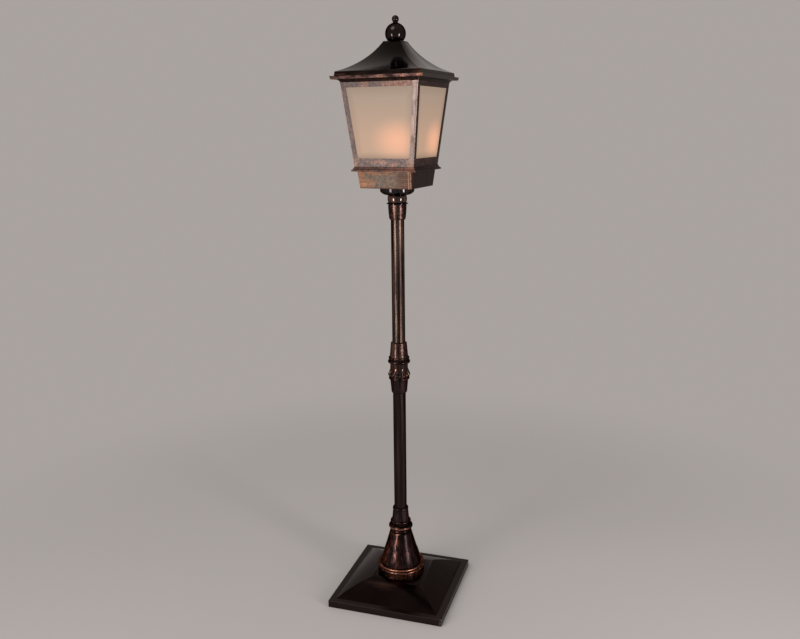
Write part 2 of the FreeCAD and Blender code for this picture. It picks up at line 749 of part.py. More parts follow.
keep("middle_pipe", pipe("middle_pipe", LOWER_TUBE_TOP - size["insert_height"],
                         UPPER_TUBE_FOOT + size["insert_height"]))

TOP_FERRULE_TOP = UPPER_TUBE_TOP + size["web_thick"]
TOP_FERRULE_FOOT = TOP_FERRULE_TOP - size["top_ferrule_height"]
keep("top_ferrule", turned("top_ferrule", [
    Corner(TUBE_MOUTH, TOP_FERRULE_FOOT),
    Corner(size["top_ferrule_foot"] - size["mouth_chamfer"] / 2, TOP_FERRULE_FOOT),
    Corner(size["top_ferrule_foot"], TOP_FERRULE_FOOT + size["mouth_chamfer_depth"],
           swell=size["top_ferrule_swell"]),
    Corner(size["top_ferrule_head"], TOP_FERRULE_TOP),
    Corner(NIPPLE_HOLE, TOP_FERRULE_TOP),
    Corner(NIPPLE_HOLE, UPPER_TUBE_TOP),
    Corner(TUBE_MOUTH, UPPER_TUBE_TOP),
]))

NECK_RING_TOP = TOP_FERRULE_TOP + size["neck_ring_height"]
EDGE_LOW = TOP_FERRULE_TOP + (size["neck_ring_height"] - size["neck_ring_edge"]) / 2
keep("neck_ring", turned("neck_ring", [
    Corner(NIPPLE_HOLE, TOP_FERRULE_TOP),
    Corner(size["neck_ring_foot"], TOP_FERRULE_TOP),
    Corner(size["neck_ring_radius"], EDGE_LOW),
    Corner(size["neck_ring_radius"], EDGE_LOW + size["neck_ring_edge"]),
    Corner(size["neck_ring_foot"], NECK_RING_TOP),
    Corner(NIPPLE_HOLE, NECK_RING_TOP),
]))
NECK_TOP = NECK_RING_TOP + size["neck_height"]
keep("neck_barrel", turned("neck_barrel", [
    Corner(NIPPLE_HOLE, NECK_RING_TOP),
    Corner(size["neck_end_radius"], NECK_RING_TOP, swell=size["neck_swell"]),
    Corner(size["neck_end_radius"], NECK_TOP),
    Corner(NIPPLE_HOLE, NECK_TOP),
]))
BOX_FOOT = NECK_TOP + size["cup_height"]
CUP_INSIDE = NECK_TOP + size["web_thick"]
keep("lantern_cup", turned("lantern_cup", [
    Corner(NIPPLE_HOLE, NECK_TOP),
    Corner(size["cup_foot_radius"], NECK_TOP, swell=size["cup_swell"]),
    Corner(size["cup_rim_radius"], BOX_FOOT - size["cup_rim_height"]),
    Corner(size["cup_rim_radius"], BOX_FOOT),
    Corner(size["cup_rim_radius"] - size["web_thick"], BOX_FOOT),
    Corner(size["cup_foot_radius"] - size["web_thick"], CUP_INSIDE),
    Corner(NIPPLE_HOLE, CUP_INSIDE),
]))

# ---------------------------------------------------------------- lantern body

BOX_FLOOR = BOX_FOOT + size["head_sheet"]
LEDGE_FOOT = BOX_FOOT + size["box_height"]
FRAME_FOOT = LEDGE_FOOT + size["ledge_height"]
FRAME_TOP = FRAME_FOOT + size["frame_height"]
box_outline = [Corner(size["box_foot_half"], BOX_FOOT), Corner(size["box_top_half"], LEDGE_FOOT)]
box_inside = [corner.moved(size["head_sheet"], AXIS - size["head_sheet"]) for corner in box_outline]
box_shell = combine("Cut", "box_shell", hipped("box_outer", box_outline), hipped("box_inner", box_inside))
box_hole = cylinder("box_hole", NIPPLE_HOLE, size["head_sheet"] * 3, BOX_FOOT - size["head_sheet"])
keep("lantern_box", turn_with_head(combine("Cut", "box_drilled", box_shell, box_hole)))

ledge = hipped("ledge_outer", [
    Corner(size["ledge_lip_half"], LEDGE_FOOT),
    Corner(size["ledge_lip_half"], LEDGE_FOOT + size["ledge_lip_height"], hollow=size["ledge_hollow"]),
    Corner(size["ledge_crown_half"], FRAME_FOOT),
])
ledge_opening = slab("ledge_opening", size["ledge_inner"], size["ledge_inner"],
                     size["ledge_height"] * 2, LEDGE_FOOT - size["ledge_height"] / 2)
keep("drip_ledge", turn_with_head(combine("Cut", "ledge_ring", ledge, ledge_opening)))

LEAN = (size["frame_top_half"] - size["frame_foot_half"]) / size["frame_height"]


def face_half(height, inset=AXIS):
    """Half the width of the leaning frame at a height, less an inset."""
    return size["frame_foot_half"] + LEAN * (height - FRAME_FOOT) - inset


def leaning(low, high, inset):
    """An outline that follows the frame's lean between two heights."""
    return [Corner(face_half(low, inset), low), Corner(face_half(high, inset), high)]


def leaning_shell(name, low, high, outer, inner):
    """A four-sided leaning shell between two insets from the frame's face."""
    return combine("Cut", name, hipped(name + "_outer", leaning(low, high, outer)),
                   hipped(name + "_inner", leaning(low, high, inner)))


WINDOW_LOW = FRAME_FOOT + size["window_sill"]
WINDOW_HIGH = FRAME_TOP - size["window_head"]
window = leaning(WINDOW_LOW, WINDOW_HIGH, size["stile_width"])
frame_tube = leaning_shell("frame_tube", FRAME_FOOT, FRAME_TOP, AXIS, size["frame_sheet"])
frame_half_cut = combine("Cut", "frame_half_cut", frame_tube, padded("window_y", "XZ_Plane", window))
frame_cage = combine("Cut", "frame_cage", frame_half_cut, padded("window_x", "YZ_Plane", window))

GLASS_FACE = size["frame_sheet"] + size["glass_gap"]
GLASS_BACK = GLASS_FACE + size["glass_thick"]
GLASS_TOP = WINDOW_HIGH + size["glass_head_lap"]
glass_tube = leaning_shell("glass_tube", FRAME_FOOT, GLASS_TOP, GLASS_FACE, GLASS_BACK)
pane = leaning(FRAME_FOOT, GLASS_TOP, size["stile_width"] - size["glass_lap"])
pane_y = combine("Common", "pane_y", glass_tube, padded("pane_along_y", "XZ_Plane", pane))
pane_x = combine("Common", "pane_x", glass_tube, padded("pane_along_x", "YZ_Plane", pane))

# each side is the quarter of the cage that a square block standing on its corner takes
SIDES = (("right", pane_x), ("back", pane_y), ("left", pane_x), ("front", pane_y))
for turn, (side, panes) in enumerate(SIDES):
    quarter = doc.addObject("Part::Box", "quarter_" + side)
    quarter.Placement.Rotation = FreeCAD.Rotation(FreeCAD.Vector(0, 0, 1), turn * 90.0 - 45.0)
    bound(quarter, Length=size["base_half"], Width=size["base_half"],
          Height=size["frame_height"] * OVERSIZE, Placement__Base__z=FRAME_FOOT)
    keep("frame_" + side, turn_with_head(combine("Common", "frame_cut_" + side, frame_cage, quarter)))
    keep("glass_" + side, turn_with_head(combine("Common", "glass_cut_" + side, panes, quarter)))

# the clips fill the corners that the panes leave and hook behind their edges
CLIP_BACK = GLASS_BACK + size["seat_gap"] + size["clip_sheet"]
clip_tube = leaning_shell("clip_tube", FRAME_FOOT, GLASS_TOP, size["frame_sheet"], CLIP_BACK)
clip_window = leaning(FRAME_FOOT, GLASS_TOP, size["stile_width"] - size["glass_lap"] + size["clip_reach"])
clip_cut_y = combine("Cut", "clip_cut_y", clip_tube, padded("clip_window_y", "XZ_Plane", clip_window))
clip_cut = combine("Cut", "clip_cut", clip_cut_y, padded("clip_window_x", "YZ_Plane", clip_window))
slot_tube = leaning_shell("slot_tube", FRAME_FOOT, GLASS_TOP, size["frame_sheet"],
                          GLASS_BACK + size["seat_gap"])
slot = leaning(FRAME_FOOT, GLASS_TOP, size["stile_width"] - size["glass_lap"] - size["seat_gap"])
slot_y = combine("Common", "slot_y", slot_tube, padded("slot_along_y", "XZ_Plane", slot))
slot_x = combine("Common", "slot_x", slot_tube, padded("slot_along_x", "YZ_Plane", slot))
clip_clear = combine("Cut", "clip_clear", combine("Cut", "clip_slotted", clip_cut, slot_y), slot_x)
clip_low = slab("clip_low", size["base_half"], size["base_half"], size["clip_height"],
                FRAME_FOOT + size["clip_offset"])
clip_high = slab("clip_high", size["base_half"], size["base_half"], size["clip_height"],
                 GLASS_TOP - size["clip_offset"])
clip_levels = combine("Fuse", "clip_levels", clip_low, clip_high)
keep("corner_clips", turn_with_head(combine("Common", "clips", clip_clear, clip_levels)))

CROWN_TOP = FRAME_TOP + size["crown_height"]
crown = hipped("crown_outer", [
    Corner(size["frame_top_half"], FRAME_TOP, hollow=size["crown_hollow"]),
    Corner(size["crown_top_half"], CROWN_TOP),
])
crown_opening = slab("crown_opening", size["crown_inner"], size["crown_inner"],
                     size["crown_height"] * 2, FRAME_TOP - size["crown_height"] / 2)
keep("crown_moulding", turn_with_head(combine("Cut", "crown_ring", crown, crown_opening)))

# ---------------------------------------------------------------- sockets and bulbs

TOP_NUT_TOP = BOX_FLOOR + size["nut_height"]
CAN_TOP = TOP_NUT_TOP + size["can_height"]
keep("top_nut", turn_with_head(nut("top_nut", BOX_FLOOR)))
keep("top_pipe", pipe("top_pipe", UPPER_TUBE_TOP - size["insert_height"],
                      TOP_NUT_TOP + size["spun_sheet"] + size["nipple_stub"]))
can_inside = size["can_radius"] - wall
keep("socket_can", turned("socket_can", [
    Corner(NIPPLE_HOLE, TOP_NUT_TOP),
    Corner(size["can_radius"], TOP_NUT_TOP),
    Corner(size["can_radius"], CAN_TOP),
    Corner(can_inside, CAN_TOP),
    Corner(can_inside, TOP_NUT_TOP + wall),
    Corner(NIPPLE_HOLE, TOP_NUT_TOP + wall),
]))
LID_TOP = CAN_TOP + size["lid_height"]
HUB_END = LID_TOP + size["lid_hub_height"]
ROD_HOLE = size["rod_radius"] + size["thread_gap"]
keep("socket_can_lid", turned("socket_can_lid", [
    Corner(ROD_HOLE, CAN_TOP),
    Corner(size["can_radius"], CAN_TOP),
    Corner(size["can_radius"], LID_TOP),
    Corner(size["lid_hub_radius"], LID_TOP),
    Corner(size["lid_hub_radius"], HUB_END),
    Corner(ROD_HOLE, HUB_END),
]))

ARM_HEIGHT = TOP_NUT_TOP + size["arm_height"]
SOCKET_FOOT = ARM_HEIGHT + size["arm_rise"]
CUP_TOP = SOCKET_FOOT + size["socket_cup_height"]
SOCKET_TOP = CUP_TOP + size["socket_height"]
CAP_FOOT = SOCKET_TOP - size["cap_length"]
CAP_HOLE = size["cap_radius"] + size["bulb_gap"]
arm_start = size["can_radius"].value
arm_end = size["socket_reach"].value
arm_level = ARM_HEIGHT.value
arm_bend = size["arm_bend"].value
arm_turn = arm_bend * QUARTER_TURN_DEPTH
arm_path = Part.Wire([
    Part.LineSegment(FreeCAD.Vector(arm_start, 0, arm_level),
                     FreeCAD.Vector(arm_end - arm_bend, 0, arm_level)).toShape(),
    Part.Arc(FreeCAD.Vector(arm_end - arm_bend, 0, arm_level),
             FreeCAD.Vector(arm_end - arm_turn, 0, arm_level + arm_turn),
             FreeCAD.Vector(arm_end, 0, arm_level + arm_bend)).toShape(),
    Part.LineSegment(FreeCAD.Vector(arm_end, 0, arm_level + arm_bend),
                     FreeCAD.Vector(arm_end, 0, SOCKET_FOOT.value)).toShape(),
])
arm_end_circle = Part.Wire([Part.Circle(FreeCAD.Vector(arm_start, 0, arm_level), FreeCAD.Vector(1, 0, 0),
                                        size["arm_radius"].value).toShape()])
arm_shape = arm_path.makePipeShell([arm_end_circle], True, True)
arm_angle = size["socket_angle"].value + size["head_turn"].value
pair = []
for half_turn in (0.0, 180.0):
    arm = arm_shape.copy()
    arm.rotate(FreeCAD.Vector(), FreeCAD.Vector(0, 0, 1), arm_angle + half_turn)
    pair.append(arm)
socket_arms = doc.addObject("Part::Feature", "socket_arms")
socket_arms.Shape = Part.makeCompound(pair)
keep("socket_arms", socket_arms)


def out_at_socket(thing, half_turn):
    """Move a turned piece out from the pole's axis to its socket."""
    reach = "Sizes.socket_reach * %s(Sizes.socket_angle + Sizes.head_turn + " + half_turn + ")"
    thing.setExpression("Placement.Base.x", reach % "cos")
    thing.setExpression("Placement.Base.y", reach % "sin")
    return thing


SOCKET_FLOOR = CUP_TOP + size["socket_floor"]
MIDDLE = SOCKET_TOP + size["bulb_middle_height"]
SHOULDER_UP = SOCKET_TOP + size["bulb_shoulder_height"]
thin = size["bulb_wall"]
for letter, half_turn in (("a", "0"), ("b", "180")):
    cup = turned("socket_cup_" + letter, [
        Corner(AXIS, SOCKET_FOOT),
        Corner(size["socket_cup_foot"], SOCKET_FOOT, swell=size["socket_lip"] * 2),
        Corner(size["socket_cup_radius"], CUP_TOP - size["socket_lip"]),
        Corner(size["socket_cup_radius"], CUP_TOP),
        Corner(AXIS, CUP_TOP),
    ])
    keep("socket_cup_" + letter, out_at_socket(cup, half_turn))
    shell = turned("socket_shell_" + letter, [
        Corner(AXIS, CUP_TOP),
        Corner(size["socket_radius"], CUP_TOP),
        Corner(size["socket_radius"], SOCKET_TOP - size["socket_lip"]),
        Corner(size["socket_radius"] - size["socket_lip"], SOCKET_TOP),
        Corner(CAP_HOLE, SOCKET_TOP),
        Corner(CAP_HOLE, SOCKET_FLOOR),
        Corner(AXIS, SOCKET_FLOOR),
    ])
    keep("socket_shell_" + letter, out_at_socket(shell, half_turn))
    cap = turned("bulb_cap_" + letter, [
        Corner(AXIS, CAP_FOOT),
        Corner(size["cap_contact_radius"], CAP_FOOT),
        Corner(size["cap_radius"], CAP_FOOT + size["cap_taper"]),
        Corner(size["cap_radius"], SOCKET_TOP),
        Corner(AXIS, SOCKET_TOP),
    ])
    keep("bulb_cap_" + letter, out_at_socket(cap, half_turn))
    glass = turned("bulb_glass_" + letter, [
        Corner(size["bulb_neck_radius"] - thin, SOCKET_TOP),
        Corner(size["bulb_neck_radius"], SOCKET_TOP),
        Corner(size["bulb_shoulder_radius"], SHOULDER_UP, hollow=size["bulb_flare"] / 4),
        Corner(size["bulb_radius"], MIDDLE, ball=size["bulb_radius"]),
        Corner(AXIS, MIDDLE + size["bulb_radius"]),
        Corner(AXIS, MIDDLE + size["bulb_radius"] - thin, bowl=size["bulb_radius"] - thin),
        Corner(size["bulb_radius"] - thin, MIDDLE, swell=size["bulb_flare"] / 4),
        Corner(size["bulb_shoulder_radius"] - thin, SHOULDER_UP),
    ])
    keep("bulb_glass_" + letter, out_at_socket(glass, half_turn))

# ---------------------------------------------------------------- roof and finial

EAVE_TOP = CROWN_TOP + size["eave_height"]
ROOF_FOOT = EAVE_TOP + size["fascia_height"]
ROOF_TOP = ROOF_FOOT + size["roof_rise"]
eave = hipped("eave_outer", [
    Corner(size["eave_foot_half"], CROWN_TOP),
    Corner(size["eave_top_half"], EAVE_TOP),
])
eave_opening = slab("eave_opening", size["eave_inner"], size["eave_inner"],
                    size["eave_height"] * 2, CROWN_TOP - size["eave_height"] / 2)
fold = size["head_sheet"]
eave_fold = hipped("eave_fold", [
    Corner(size["eave_foot_half"] - fold, CROWN_TOP + fold),
    Corner(size["eave_top_half"] - fold, EAVE_TOP - fold),
])
eave_ring = combine("Cut", "eave_ring", eave, eave_opening)
keep("eave_plate", turn_with_head(combine("Cut", "eave_folded", eave_ring, eave_fold)))

lug_foot = CROWN_TOP - size["lug_depth"]
lug_height = size["lug_depth"] + size["eave_height"]
lug_block_x = slab("lug_block_x", size["eave_inner"], size["lug_width"] / 2, lug_height, lug_foot)
lug_block_y = slab("lug_block_y", size["lug_width"] / 2, size["eave_inner"], lug_height, lug_foot)
lug_core = slab("lug_core", size["eave_inner"] - fold, size["eave_inner"] - fold, lug_height * 2,
                lug_foot - lug_height / 2)
lug_blocks = combine("Fuse", "lug_blocks", lug_block_x, lug_block_y)
keep("roof_lugs", turn_with_head(combine("Cut", "lugs", lug_blocks, lug_core)))

roof_outline = [
    Corner(size["fascia_half"], EAVE_TOP),
    Corner(size["roof_foot_half"], ROOF_FOOT, hollow=size["roof_hollow"]),
    Corner(size["roof_top_half"], ROOF_TOP),
]
roof_inside = [corner.moved(fold, fold) for corner in roof_outline]
roof_cut = combine("Cut", "roof_cut", hipped("roof_outer", roof_outline), hipped("roof_inner", roof_inside))
roof_hole = cylinder("roof_hole", size["roof_hole_radius"], fold * 4, ROOF_TOP - fold * 2)
keep("roof_shell", turn_with_head(combine("Cut", "roof_drilled", roof_cut, roof_hole)))

BALL_MIDDLE = ROOF_TOP + BALL_SEAT_DROP
NECK_LEVEL = BALL_MIDDLE + BALL_NECK_RISE
STUD_FOOT = NECK_LEVEL - size["tip_stud_length"]
STUD_HOLE = size["tip_stud_radius"] + size["thread_gap"]
ROD_TOP = ROOF_TOP + size["rod_grip"]
ROD_END = ROD_TOP + size["hole_gap"]
keep("finial_ball", turned("finial_ball", [
    Corner(ROD_HOLE, ROOF_TOP),
    Corner(size["ball_seat"], ROOF_TOP, ball=size["ball_radius"]),
    Corner(size["ball_radius"], BALL_MIDDLE, ball=size["ball_radius"]),
    Corner(size["ball_neck_radius"], NECK_LEVEL),
    Corner(STUD_HOLE, NECK_LEVEL),
    Corner(STUD_HOLE, STUD_FOOT),
    Corner(AXIS, STUD_FOOT),
    Corner(AXIS, ROD_END),
    Corner(ROD_HOLE, ROD_END),
]))
TIP_FOOT = NECK_LEVEL + size["tip_neck_height"]
TIP_MIDDLE = TIP_FOOT + TIP_NECK_DROP
keep("finial_tip", turned("finial_tip", [
    Corner(AXIS, STUD_FOOT),
    Corner(size["tip_stud_radius"], STUD_FOOT),
    Corner(size["tip_stud_radius"], NECK_LEVEL),
    Corner(size["ball_neck_radius"], NECK_LEVEL),
    Corner(size["ball_neck_radius"], TIP_FOOT, ball=size["tip_radius"]),
    Corner(size["tip_radius"], TIP_MIDDLE, ball=size["tip_radius"]),
    Corner(AXIS, TIP_MIDDLE + size["tip_radius"]),
]))
keep("finial_rod", cylinder("finial_rod", size["rod_radius"], ROD_TOP - CAN_TOP, CAN_TOP))

# ---------------------------------------------------------------- lead inside the pole

lead_start = bushing_start.value
lead_low = CORD_HEIGHT.value
lead_bend = size["lead_bend"].value
lead_top = (TOP_NUT_TOP + size["can_height"] / 2).value
lead_turn = lead_bend * QUARTER_TURN_DEPTH
lead_path = Part.Wire([
    Part.LineSegment(FreeCAD.Vector(0, lead_start, lead_low),
                     FreeCAD.Vector(0, lead_bend, lead_low)).toShape(),
    Part.Arc(FreeCAD.Vector(0, lead_bend, lead_low),
             FreeCAD.Vector(0, lead_turn, lead_low + lead_turn),
             FreeCAD.Vector(0, 0, lead_low + lead_bend)).toShape(),
    Part.LineSegment(FreeCAD.Vector(0, 0, lead_low + lead_bend),
                     FreeCAD.Vector(0, 0, lead_top)).toShape(),
])
lead_end = Part.Wire([Part.Circle(FreeCAD.Vector(0, lead_start, lead_low), FreeCAD.Vector(0, 1, 0),
                                  size["lead_radius"].value).toShape()])
inner_lead = doc.addObject("Part::Feature", "inner_lead")
inner_lead.Shape = lead_path.makePipeShell([lead_end], True, True)
keep("inner_lead", inner_lead)
lead_volume = math.pi * size["lead_radius"].value ** 2 * lead_path.Length

# ---------------------------------------------------------------- checks and files

doc.recompute()
for thing in doc.Objects:
    if "Invalid" in thing.State or "Error" in thing.State:
        raise RuntimeError("%s did not build: %s" % (thing.Name, thing.State))
for thing in NODES:
    shape = thing.Shape
    if shape.isNull() or not shape.isValid() or shape.Volume <= 0 or not shape.Solids:
        raise RuntimeError("%s has no valid solid" % thing.Label)
if boss.Shape.Volume <= core_volume:
    raise RuntimeError("the lobes were not added to the boss")
if abs(inner_lead.Shape.Volume / lead_volume - 1.0) > 0.01:
    raise RuntimeError("the lead's tube does not follow its path")

os.makedirs("parts", exist_ok=True)
for thing in NODES:
    thing.Shape.exportStep("parts/%s.step" % thing.Label)
    box = thing.Shape.BoundBox
    print("%-20s solids %2d volume %9.0f  z %7.1f to %7.1f" % (
        thing.Label, len(thing.Shape.Solids), thing.Shape.Volume, box.ZMin, box.ZMax))
print("nodes:", len(NODES), " top of the finial:", round(max(t.Shape.BoundBox.ZMax for t in NODES), 1))
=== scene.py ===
"""Lantern floor lamp: camera, soft studio and the finish of every piece, in order of assembly."""
import math

import bmesh
import bpy
from mathutils import Euler, Matrix, Vector


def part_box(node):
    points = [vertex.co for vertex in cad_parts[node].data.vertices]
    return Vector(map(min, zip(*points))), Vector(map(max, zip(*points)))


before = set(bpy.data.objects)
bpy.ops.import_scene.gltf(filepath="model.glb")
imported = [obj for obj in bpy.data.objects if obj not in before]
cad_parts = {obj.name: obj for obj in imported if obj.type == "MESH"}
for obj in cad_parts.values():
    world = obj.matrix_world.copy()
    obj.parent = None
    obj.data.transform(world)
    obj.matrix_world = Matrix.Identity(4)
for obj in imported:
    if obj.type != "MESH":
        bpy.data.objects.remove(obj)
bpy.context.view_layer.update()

# ------------------------------------------------------------------ camera and studio
# The camera stands a little right of the lamp's front, at chest height, and looks down on it.
# Lens and angles come from a fit of base, rings and eaves to the photograph. A wide strip lamp at
# its left and a narrower one at its right light it, on a pale floor that fades into the backdrop.

CAMERA_PLACE = Vector((0.70111, -2.18194, 1.41287))
CAMERA_TURN = math.radians(17.7104)
CAMERA_PITCH = math.radians(90.0 - 13.4672)
CAMERA_ROLL = math.radians(-0.5980)
CAMERA_LENS = 36.4223
SENSOR_WIDTH = 36.0

camera_data = bpy.data.cameras.new("studio_camera")
camera_data.sensor_width = SENSOR_WIDTH
camera_data.lens = CAMERA_LENS
camera = bpy.data.objects.new("studio_camera", camera_data)
camera.matrix_world = (
    Matrix.Translation(CAMERA_PLACE)
    @ Matrix.Rotation(CAMERA_TURN, 4, "Z")
    @ Matrix.Rotation(CAMERA_PITCH, 4, "X")
    @ Matrix.Rotation(CAMERA_ROLL, 4, "Z")
)
bpy.context.scene.collection.objects.link(camera)
bpy.context.scene.camera = camera
bpy.context.scene.view_settings.view_transform = "Standard"


MIX_FACTOR, MIX_LOW, MIX_HIGH, MIX_RESULT = 0, 6, 7, 2


class Wire:
    """A shader socket to reckon with: a sign adds its Math node, node() adds any other kind."""

    def __init__(self, socket):
        self.socket = socket

    def node(self, kind, inputs, output=0, **settings):
        tree = self.socket.id_data
        made = tree.nodes.new(kind)
        for name, value in settings.items():
            setattr(made, name, value)
        for name, value in inputs.items():
            if isinstance(value, Wire):
                tree.links.new(value.socket, made.inputs[name])
            else:
                made.inputs[name].default_value = value
        return Wire(made.outputs[output])

    def sum(self, operation, *terms):
        return self.node("ShaderNodeMath", dict(enumerate(terms)), operation=operation)

    def __add__(self, other):
        return self.sum("ADD", self, other)

    def __sub__(self, other):
        return self.sum("SUBTRACT", self, other)

    def __rsub__(self, other):
        return self.sum("SUBTRACT", other, self)

    def __mul__(self, other):
        return self.sum("MULTIPLY", self, other)

    __radd__ = __add__
    __rmul__ = __mul__

    def __truediv__(self, other):
        return self.sum("DIVIDE", self, other)

    def __pow__(self, other):
        return self.sum("POWER", self, other)

    def __neg__(self):
        return self * -1.0

    def __abs__(self):
        return self.sum("ABSOLUTE", self)

    def __or__(self, other):
        return self.sum("MAXIMUM", self, other)

    def rise(self, low, high):
        """0 below low, 1 above high, smooth between; low may be the larger, to fall instead."""
        return self.node("ShaderNodeMapRange", {"Value": self, "From Min": low, "From Max": high},
                         interpolation_type="SMOOTHSTEP")

    def near(self, middle, reach):
        """1 where the value is middle, fading to 0 a reach away."""
        return abs(self - middle).rise(reach, 0.0)

    def tint(self, low, high):
        """The colour low where the value is 0 and high where it is 1."""
        low, high = (c if isinstance(c, Wire) else (*c, 1.0) for c in (low, high))
        return self.node("ShaderNodeMix", {MIX_FACTOR: self, MIX_LOW: low, MIX_HIGH: high},
                         output=MIX_RESULT, data_type="RGBA")

    def parts(self):
        """The three numbers of a place."""
        split = self.node("ShaderNodeSeparateXYZ", {"Vector": self}).socket.node
        return [Wire(output) for output in split.outputs]

    def mottle(self, scale, detail=3.0, roughness=0.55, stretch=(1.0, 1.0, 1.0)):
        """Cloudy noise at a place, from 0 to 1, drawn out along an axis by a small stretch."""
        place = self.node("ShaderNodeMapping", {"Vector": self, "Scale": stretch})
        return self.node("ShaderNodeTexNoise", {
            "Vector": place, "Scale": scale, "Detail": detail, "Roughness": roughness})

    def relief(self, depth, strength=1.0):
        """The normal of a surface that this value raises by a depth in metres."""
        return self.node("ShaderNodeBump", {
            "Height": self, "Strength": strength, "Distance": depth})

    def surface(self, inputs):
        """Set and link the sockets of the material's own shader."""
        tree = self.socket.id_data
        shader = tree.nodes["Principled BSDF"]
        for name, value in inputs.items():
            if isinstance(value, Wire):
                tree.links.new(value.socket, shader.inputs[name])
            elif isinstance(value, tuple):
                shader.inputs[name].default_value = (*value, 1.0)
            else:
                shader.inputs[name].default_value = value


def new_finish(name):
    """A material, and its Object coordinates to start from."""
    material = bpy.data.materials.new(name)
    material.use_nodes = True
    place = material.node_tree.nodes.new("ShaderNodeTexCoord").outputs["Object"]
    return material, Wire(place)


def dress(material, *nodes):
    """Put a material on CAD nodes."""
    for node in nodes:
        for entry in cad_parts[node].material_slots:
            entry.material = material


FLOOR_HALF = 30.0
FLOOR_COLOUR = (0.49, 0.448, 0.426)
BACKDROP_COLOUR = (0.40, 0.366, 0.348)
FADE_START = 0.9
FADE_END = 2.1
ROOM_LIGHT = 0.42
BLACK = (0.0, 0.0, 0.0)
WHITE = (1.0, 1.0, 1.0)

floor_form = bmesh.new()
bmesh.ops.create_grid(floor_form, x_segments=1, y_segments=1, size=FLOOR_HALF)
floor_mesh = bpy.data.meshes.new("studio_floor")
floor_form.to_mesh(floor_mesh)
floor_form.free()
floor = bpy.data.objects.new("studio_floor", floor_mesh)
bpy.context.scene.collection.objects.link(floor)
floor_finish, place = new_finish("studio_floor")
across, along = place.parts()[:2]
distance = (across * across + along * along) ** 0.5
far = distance.rise(FADE_START, FADE_END)
place.surface({
    "Base Color": far.tint(FLOOR_COLOUR, BLACK),
    "Emission Color": far.tint(BLACK, BACKDROP_COLOUR),
    "Emission Strength": 1.0,
    "Roughness": 0.9,
    "Specular IOR Level": 0.0,
})
floor_mesh.materials.append(floor_finish)

room = bpy.data.worlds.new("studio_room")
room.use_nodes = True
bpy.context.scene.world = room
camera_ray = Wire(room.node_tree.nodes.new("ShaderNodeLightPath").outputs["Is Camera Ray"])
rays = camera_ray.socket.node.outputs
seen = camera_ray | Wire(rays["Is Glossy Ray"]) | Wire(rays["Is Transmission Ray"])
lighting = seen.node("ShaderNodeBackground", {
    "Color": (*WHITE, 1.0), "Strength": ROOM_LIGHT})
backdrop = seen.node("ShaderNodeBackground", {
    "Color": (*BACKDROP_COLOUR, 1.0), "Strength": 1.0})
both = seen.node("ShaderNodeMixShader", {0: seen, 1: lighting, 2: backdrop})
room.node_tree.links.new(both.socket, room.node_tree.nodes["World Output"].inputs["Surface"])

STRIP_DISTANCE = 2.6
STRIP_CENTRE = 0.78
STRIP_LENGTH = 1.10
UPRIGHT = math.radians(90.0)


def strip_lamp(name, bearing, width, power):
    """An upright area lamp that faces the floor lamp; bearing is from above, 0 along +X."""
    data = bpy.data.lights.new(name, "AREA")
    data.shape = "RECTANGLE"
    data.size = width
    data.size_y = STRIP_LENGTH
    data.energy = power
    lamp = bpy.data.objects.new(name, data)
    angle = math.radians(bearing)
    lamp.location = (
        STRIP_DISTANCE * math.cos(angle), STRIP_DISTANCE * math.sin(angle), STRIP_CENTRE)
    lamp.rotation_euler = (UPRIGHT, 0.0, angle + UPRIGHT)
    lamp.visible_camera = False
    bpy.context.scene.collection.objects.link(lamp)


strip_lamp("strip_left", bearing=-117.0, width=0.60, power=23.0)
strip_lamp("strip_right", bearing=-29.0, width=0.42, power=32.0)

SUN_POWER = 0.9
SUN_SPREAD = math.radians(35.0)
SUN_TILT = (math.radians(34.0), math.radians(-20.0), 0.0)

sun_data = bpy.data.lights.new("key", "SUN")
sun_data.energy = SUN_POWER
sun_data.angle = SUN_SPREAD
sun = bpy.data.objects.new("key", sun_data)
sun.rotation_euler = Euler(SUN_TILT)
bpy.context.scene.collection.objects.link(sun)

# ------------------------------------------------------------------ inside of the base and pole
# Felt glued under a thin steel cover, a rough cast weight, and threaded pipes, nuts and inserts
# of zinc-plated steel that clamp the lamp together; the lead runs up inside them.

FELT_COLOURS = ((0.012, 0.011, 0.010), (0.035, 0.031, 0.028))
COVER_COLOURS = ((0.018, 0.015, 0.013), (0.032, 0.026, 0.023))
IRON_COLOURS = ((0.030, 0.029, 0.028), (0.085, 0.080, 0.076))
ZINC_COLOURS = ((0.42, 0.40, 0.34), (0.62, 0.60, 0.55))
NYLON_COLOURS = ((0.010, 0.010, 0.010), (0.022, 0.021, 0.020))
LEAD_COLOURS = ((0.030, 0.019, 0.012), (0.050, 0.032, 0.020))
THREAD_PITCH = 0.0012

felt_finish, place = new_finish("black_felt")
tuft = place.mottle(900.0, 2.0)
place.surface({
    "Base Color": tuft.tint(*FELT_COLOURS),
    "Roughness": 0.95,
    "Sheen Weight": 0.3,
    "Normal": tuft.relief(0.0006, 0.5),
})
dress(felt_finish, "base_felt")

cover_finish, place = new_finish("black_sheet_steel")
place.surface({
    "Base Color": place.mottle(60.0).tint(*COVER_COLOURS),
    "Roughness": 0.5,
})
dress(cover_finish, "base_cover")

iron_finish, place = new_finish("cast_iron")
grit = place.mottle(450.0, 6.0, 0.7)
place.surface({
    "Base Color": grit.tint(*IRON_COLOURS),
    "Metallic": 0.7,
    "Roughness": 0.72,
    "Normal": grit.relief(0.001, 0.6),
})
dress(iron_finish, "base_weight")

